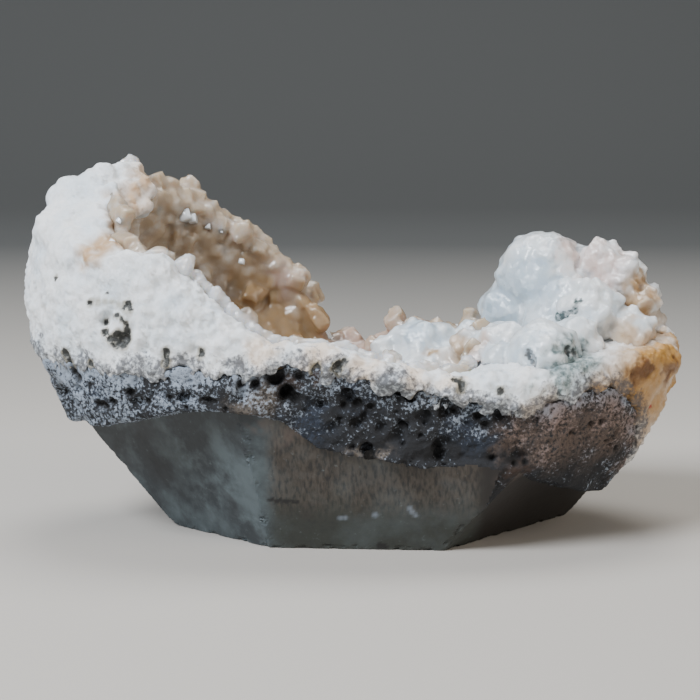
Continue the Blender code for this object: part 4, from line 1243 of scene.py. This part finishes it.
class GEODE_OT_domes(bpy.types.Operator):
    """Dresses the rounded white clusters with facets and small teeth"""
    bl_idname = "geode.domes"
    bl_label = "White clusters"

    def execute(self, context):
        shapes, colours = context.scene.geode_shapes, context.scene.geode_colours
        random = np.random.default_rng(shapes.seed + 1)
        item = fine_skin("crystal_domes", "white_clusters", shapes.skin_step)
        behind = solid_tree("basalt_matrix", "chalcedony_rind", "crystal_lining")
        points, edges = read_points(item.data), read_edges(item.data)
        points = soften(relax(points, edges, 10), edges, CLUSTER_SOFT)
        write_points(item.data, points)
        normals = read_normals(item.data)
        clear = nearness(points, behind, 2 * MM) > 1.2 * MM
        broad = blobs(points, BROAD_FACETS)
        rows = np.flatnonzero(clear & (blobs(points, TOOTHED) > 0.3) & (broad < 0.3))
        rows = scatter(points, rows, 1.5 * shapes.tooth_size, random)
        seats = random_seats(
            points, normals, rows, 0.2 * shapes.tooth_size, shapes.tooth_size, TEETH, random)
        rows = scatter(points, np.flatnonzero(clear & (broad > 0.1)), 1.1 * shapes.crystal_gap, random)
        seats += random_seats(
            points, normals, rows, 0.6 * shapes.crystal_sink, shapes.crystal_size, PLATES, random)
        grow_crystals(item, seats)
        even_skin(item, shapes.cluster_step)
        drop_hidden(item, behind, PRESSED, margin=5)
        mesh = item.data
        points, normals = read_points(mesh), read_normals(mesh)
        lift = fractal_field(points, 8 * MM, 2, 2.0) * 0.6 * MM
        lift = lift + lump_field(points, 3.2 * MM, 6.0) * shapes.dome_facet * 1.1
        lift = lift + lump_field(points, 1.3 * MM, 8.0) * shapes.dome_facet * 0.45
        points = points + normals * lift[:, None]
        points, pit_shade = press_pits(points, normals, DOME_PITS, 1.0)
        run = shapes.rind_run * blobs(points, CLUSTER_FOOT)
        points = run_down(points, solid_tree("chalcedony_rind"), run)
        write_points(mesh, points)
        wobble = fractal_field(points, 5 * MM, 3, 3.0) * 3 * MM
        shifted = points + wobble[:, None]
        store_zones(mesh, {
            # Painted shade in the pits.
            "pit_shade": smooth_step(pit_shade, 0.3, 0.8),
            "inclusion": smooth_step(blobs(points, TEAL_INCLUSION), 0.1, 0.5) * 0.9,
            "teal": blobs(shifted, TEAL_GRAIN),
            "blue": blobs(shifted, DOME_BLUE) * 0.8,
            "pink": blobs(shifted, DOME_PINK) * 0.8,
            "beige": blobs(shifted, DOME_BEIGE) * 0.85,
            "tan": blobs(shifted, DOME_TAN) * 0.9,
        })
        shade_smooth(item)
        finish_piece(item, "crystal_domes", "white_crystal", milky_crystal(colours))
        return {"FINISHED"}


# ---------------------------------------------------------------------- stage


class GEODE_OT_stage(bpy.types.Operator):
    """Sets up the floor, the backdrop, the soft lights and the camera"""
    bl_idname = "geode.stage"
    bl_label = "Stage"

    def execute(self, context):
        self.add_sweep(context)
        self.add_lights(context)
        self.add_camera(context)
        return {"FINISHED"}

    def add_sweep(self, context):
        """A floor that runs in one piece into an upright backdrop, sizes in metres."""
        front, back, bend, half, top = 3.0, 0.8, 0.4, 4.0, 2.4
        path = [(-front, 0.0), (back, 0.0)]
        path += [(back + bend * sin(t), bend * (1 - cos(t))) for t in np.linspace(0, pi / 2, 9)[1:]]
        path.append((back + bend, top))
        mesh = bpy.data.meshes.new("studio_sweep")
        with mesh_edit(mesh) as build:
            rows = [[build.verts.new((x, y, z)) for x in (-half, half)] for y, z in path]
            for low, high in zip(rows, rows[1:]):
                build.faces.new((low[0], low[1], high[1], high[0]))
        sweep = bpy.data.objects.new("studio_sweep", mesh)
        context.scene.collection.objects.link(sweep)
        shade_smooth(sweep)
        mesh.materials.append(matt_paper(context.scene.geode_colours))

    def add_lights(self, context):
        """Soft cool key from the upper left, a warm fill from the right and a soft light over the back."""
        for name, place, size, power, tint in LIGHTS:
            light = bpy.data.lights.new(name, "AREA")
            light.shape, light.size, light.energy = "DISK", size, power
            light.color = hex_colour(tint)[:3]
            lamp = bpy.data.objects.new(name, light)
            lamp.location = place
            lamp.rotation_mode = "QUATERNION"
            lamp.rotation_quaternion = (LIGHTS_AIM - lamp.location).to_track_quat("-Z", "Y")
            context.scene.collection.objects.link(lamp)
        room = bpy.data.worlds.new("soft_room")
        room.use_nodes = True
        background = room.node_tree.nodes["Background"]
        background.inputs["Color"].default_value = hex_colour(ROOM_TINT)
        background.inputs["Strength"].default_value = ROOM_STRENGTH
        context.scene.world = room

    def add_camera(self, context):
        data = bpy.data.cameras.new("camera")
        data.lens, data.sensor_width = CAMERA_LENS, CAMERA_SENSOR
        camera = bpy.data.objects.new("camera", data)
        camera.location = CAMERA_PLACE
        camera.rotation_mode = "QUATERNION"
        camera.rotation_quaternion = (CAMERA_AIM - CAMERA_PLACE).to_track_quat("-Z", "Y")
        context.scene.collection.objects.link(camera)
        context.scene.camera = camera


class GEODE_PT_panel(bpy.types.Panel):
    """Lists the steps that dress the geode"""
    bl_idname = "GEODE_PT_panel"
    bl_label = "Crystal Geode"
    bl_space_type = "VIEW_3D"
    bl_region_type = "UI"
    bl_category = "Geode"

    def draw(self, context):
        for operator in OPERATORS:
            self.layout.operator(operator.bl_idname)
        for group in (context.scene.geode_shapes, context.scene.geode_colours):
            column = self.layout.column(align=True)
            for name in group.__annotations__:
                column.prop(group, name)


OPERATORS = (GEODE_OT_basalt, GEODE_OT_rind, GEODE_OT_lining, GEODE_OT_domes, GEODE_OT_stage)
CLASSES = (GeodeShapes, GeodeColours, *OPERATORS, GEODE_PT_panel)


def register():
    for cls in CLASSES:
        bpy.utils.register_class(cls)
    bpy.types.Scene.geode_shapes = PointerProperty(type=GeodeShapes)
    bpy.types.Scene.geode_colours = PointerProperty(type=GeodeColours)


def unregister():
    del bpy.types.Scene.geode_shapes
    del bpy.types.Scene.geode_colours
    for cls in reversed(CLASSES):
        bpy.utils.unregister_class(cls)


def main():
    register()
    bpy.ops.geode.basalt()
    bpy.ops.geode.rind()
    bpy.ops.geode.lining()
    bpy.ops.geode.domes()
    bpy.ops.geode.stage()


if __name__ == "__main__":
    main()
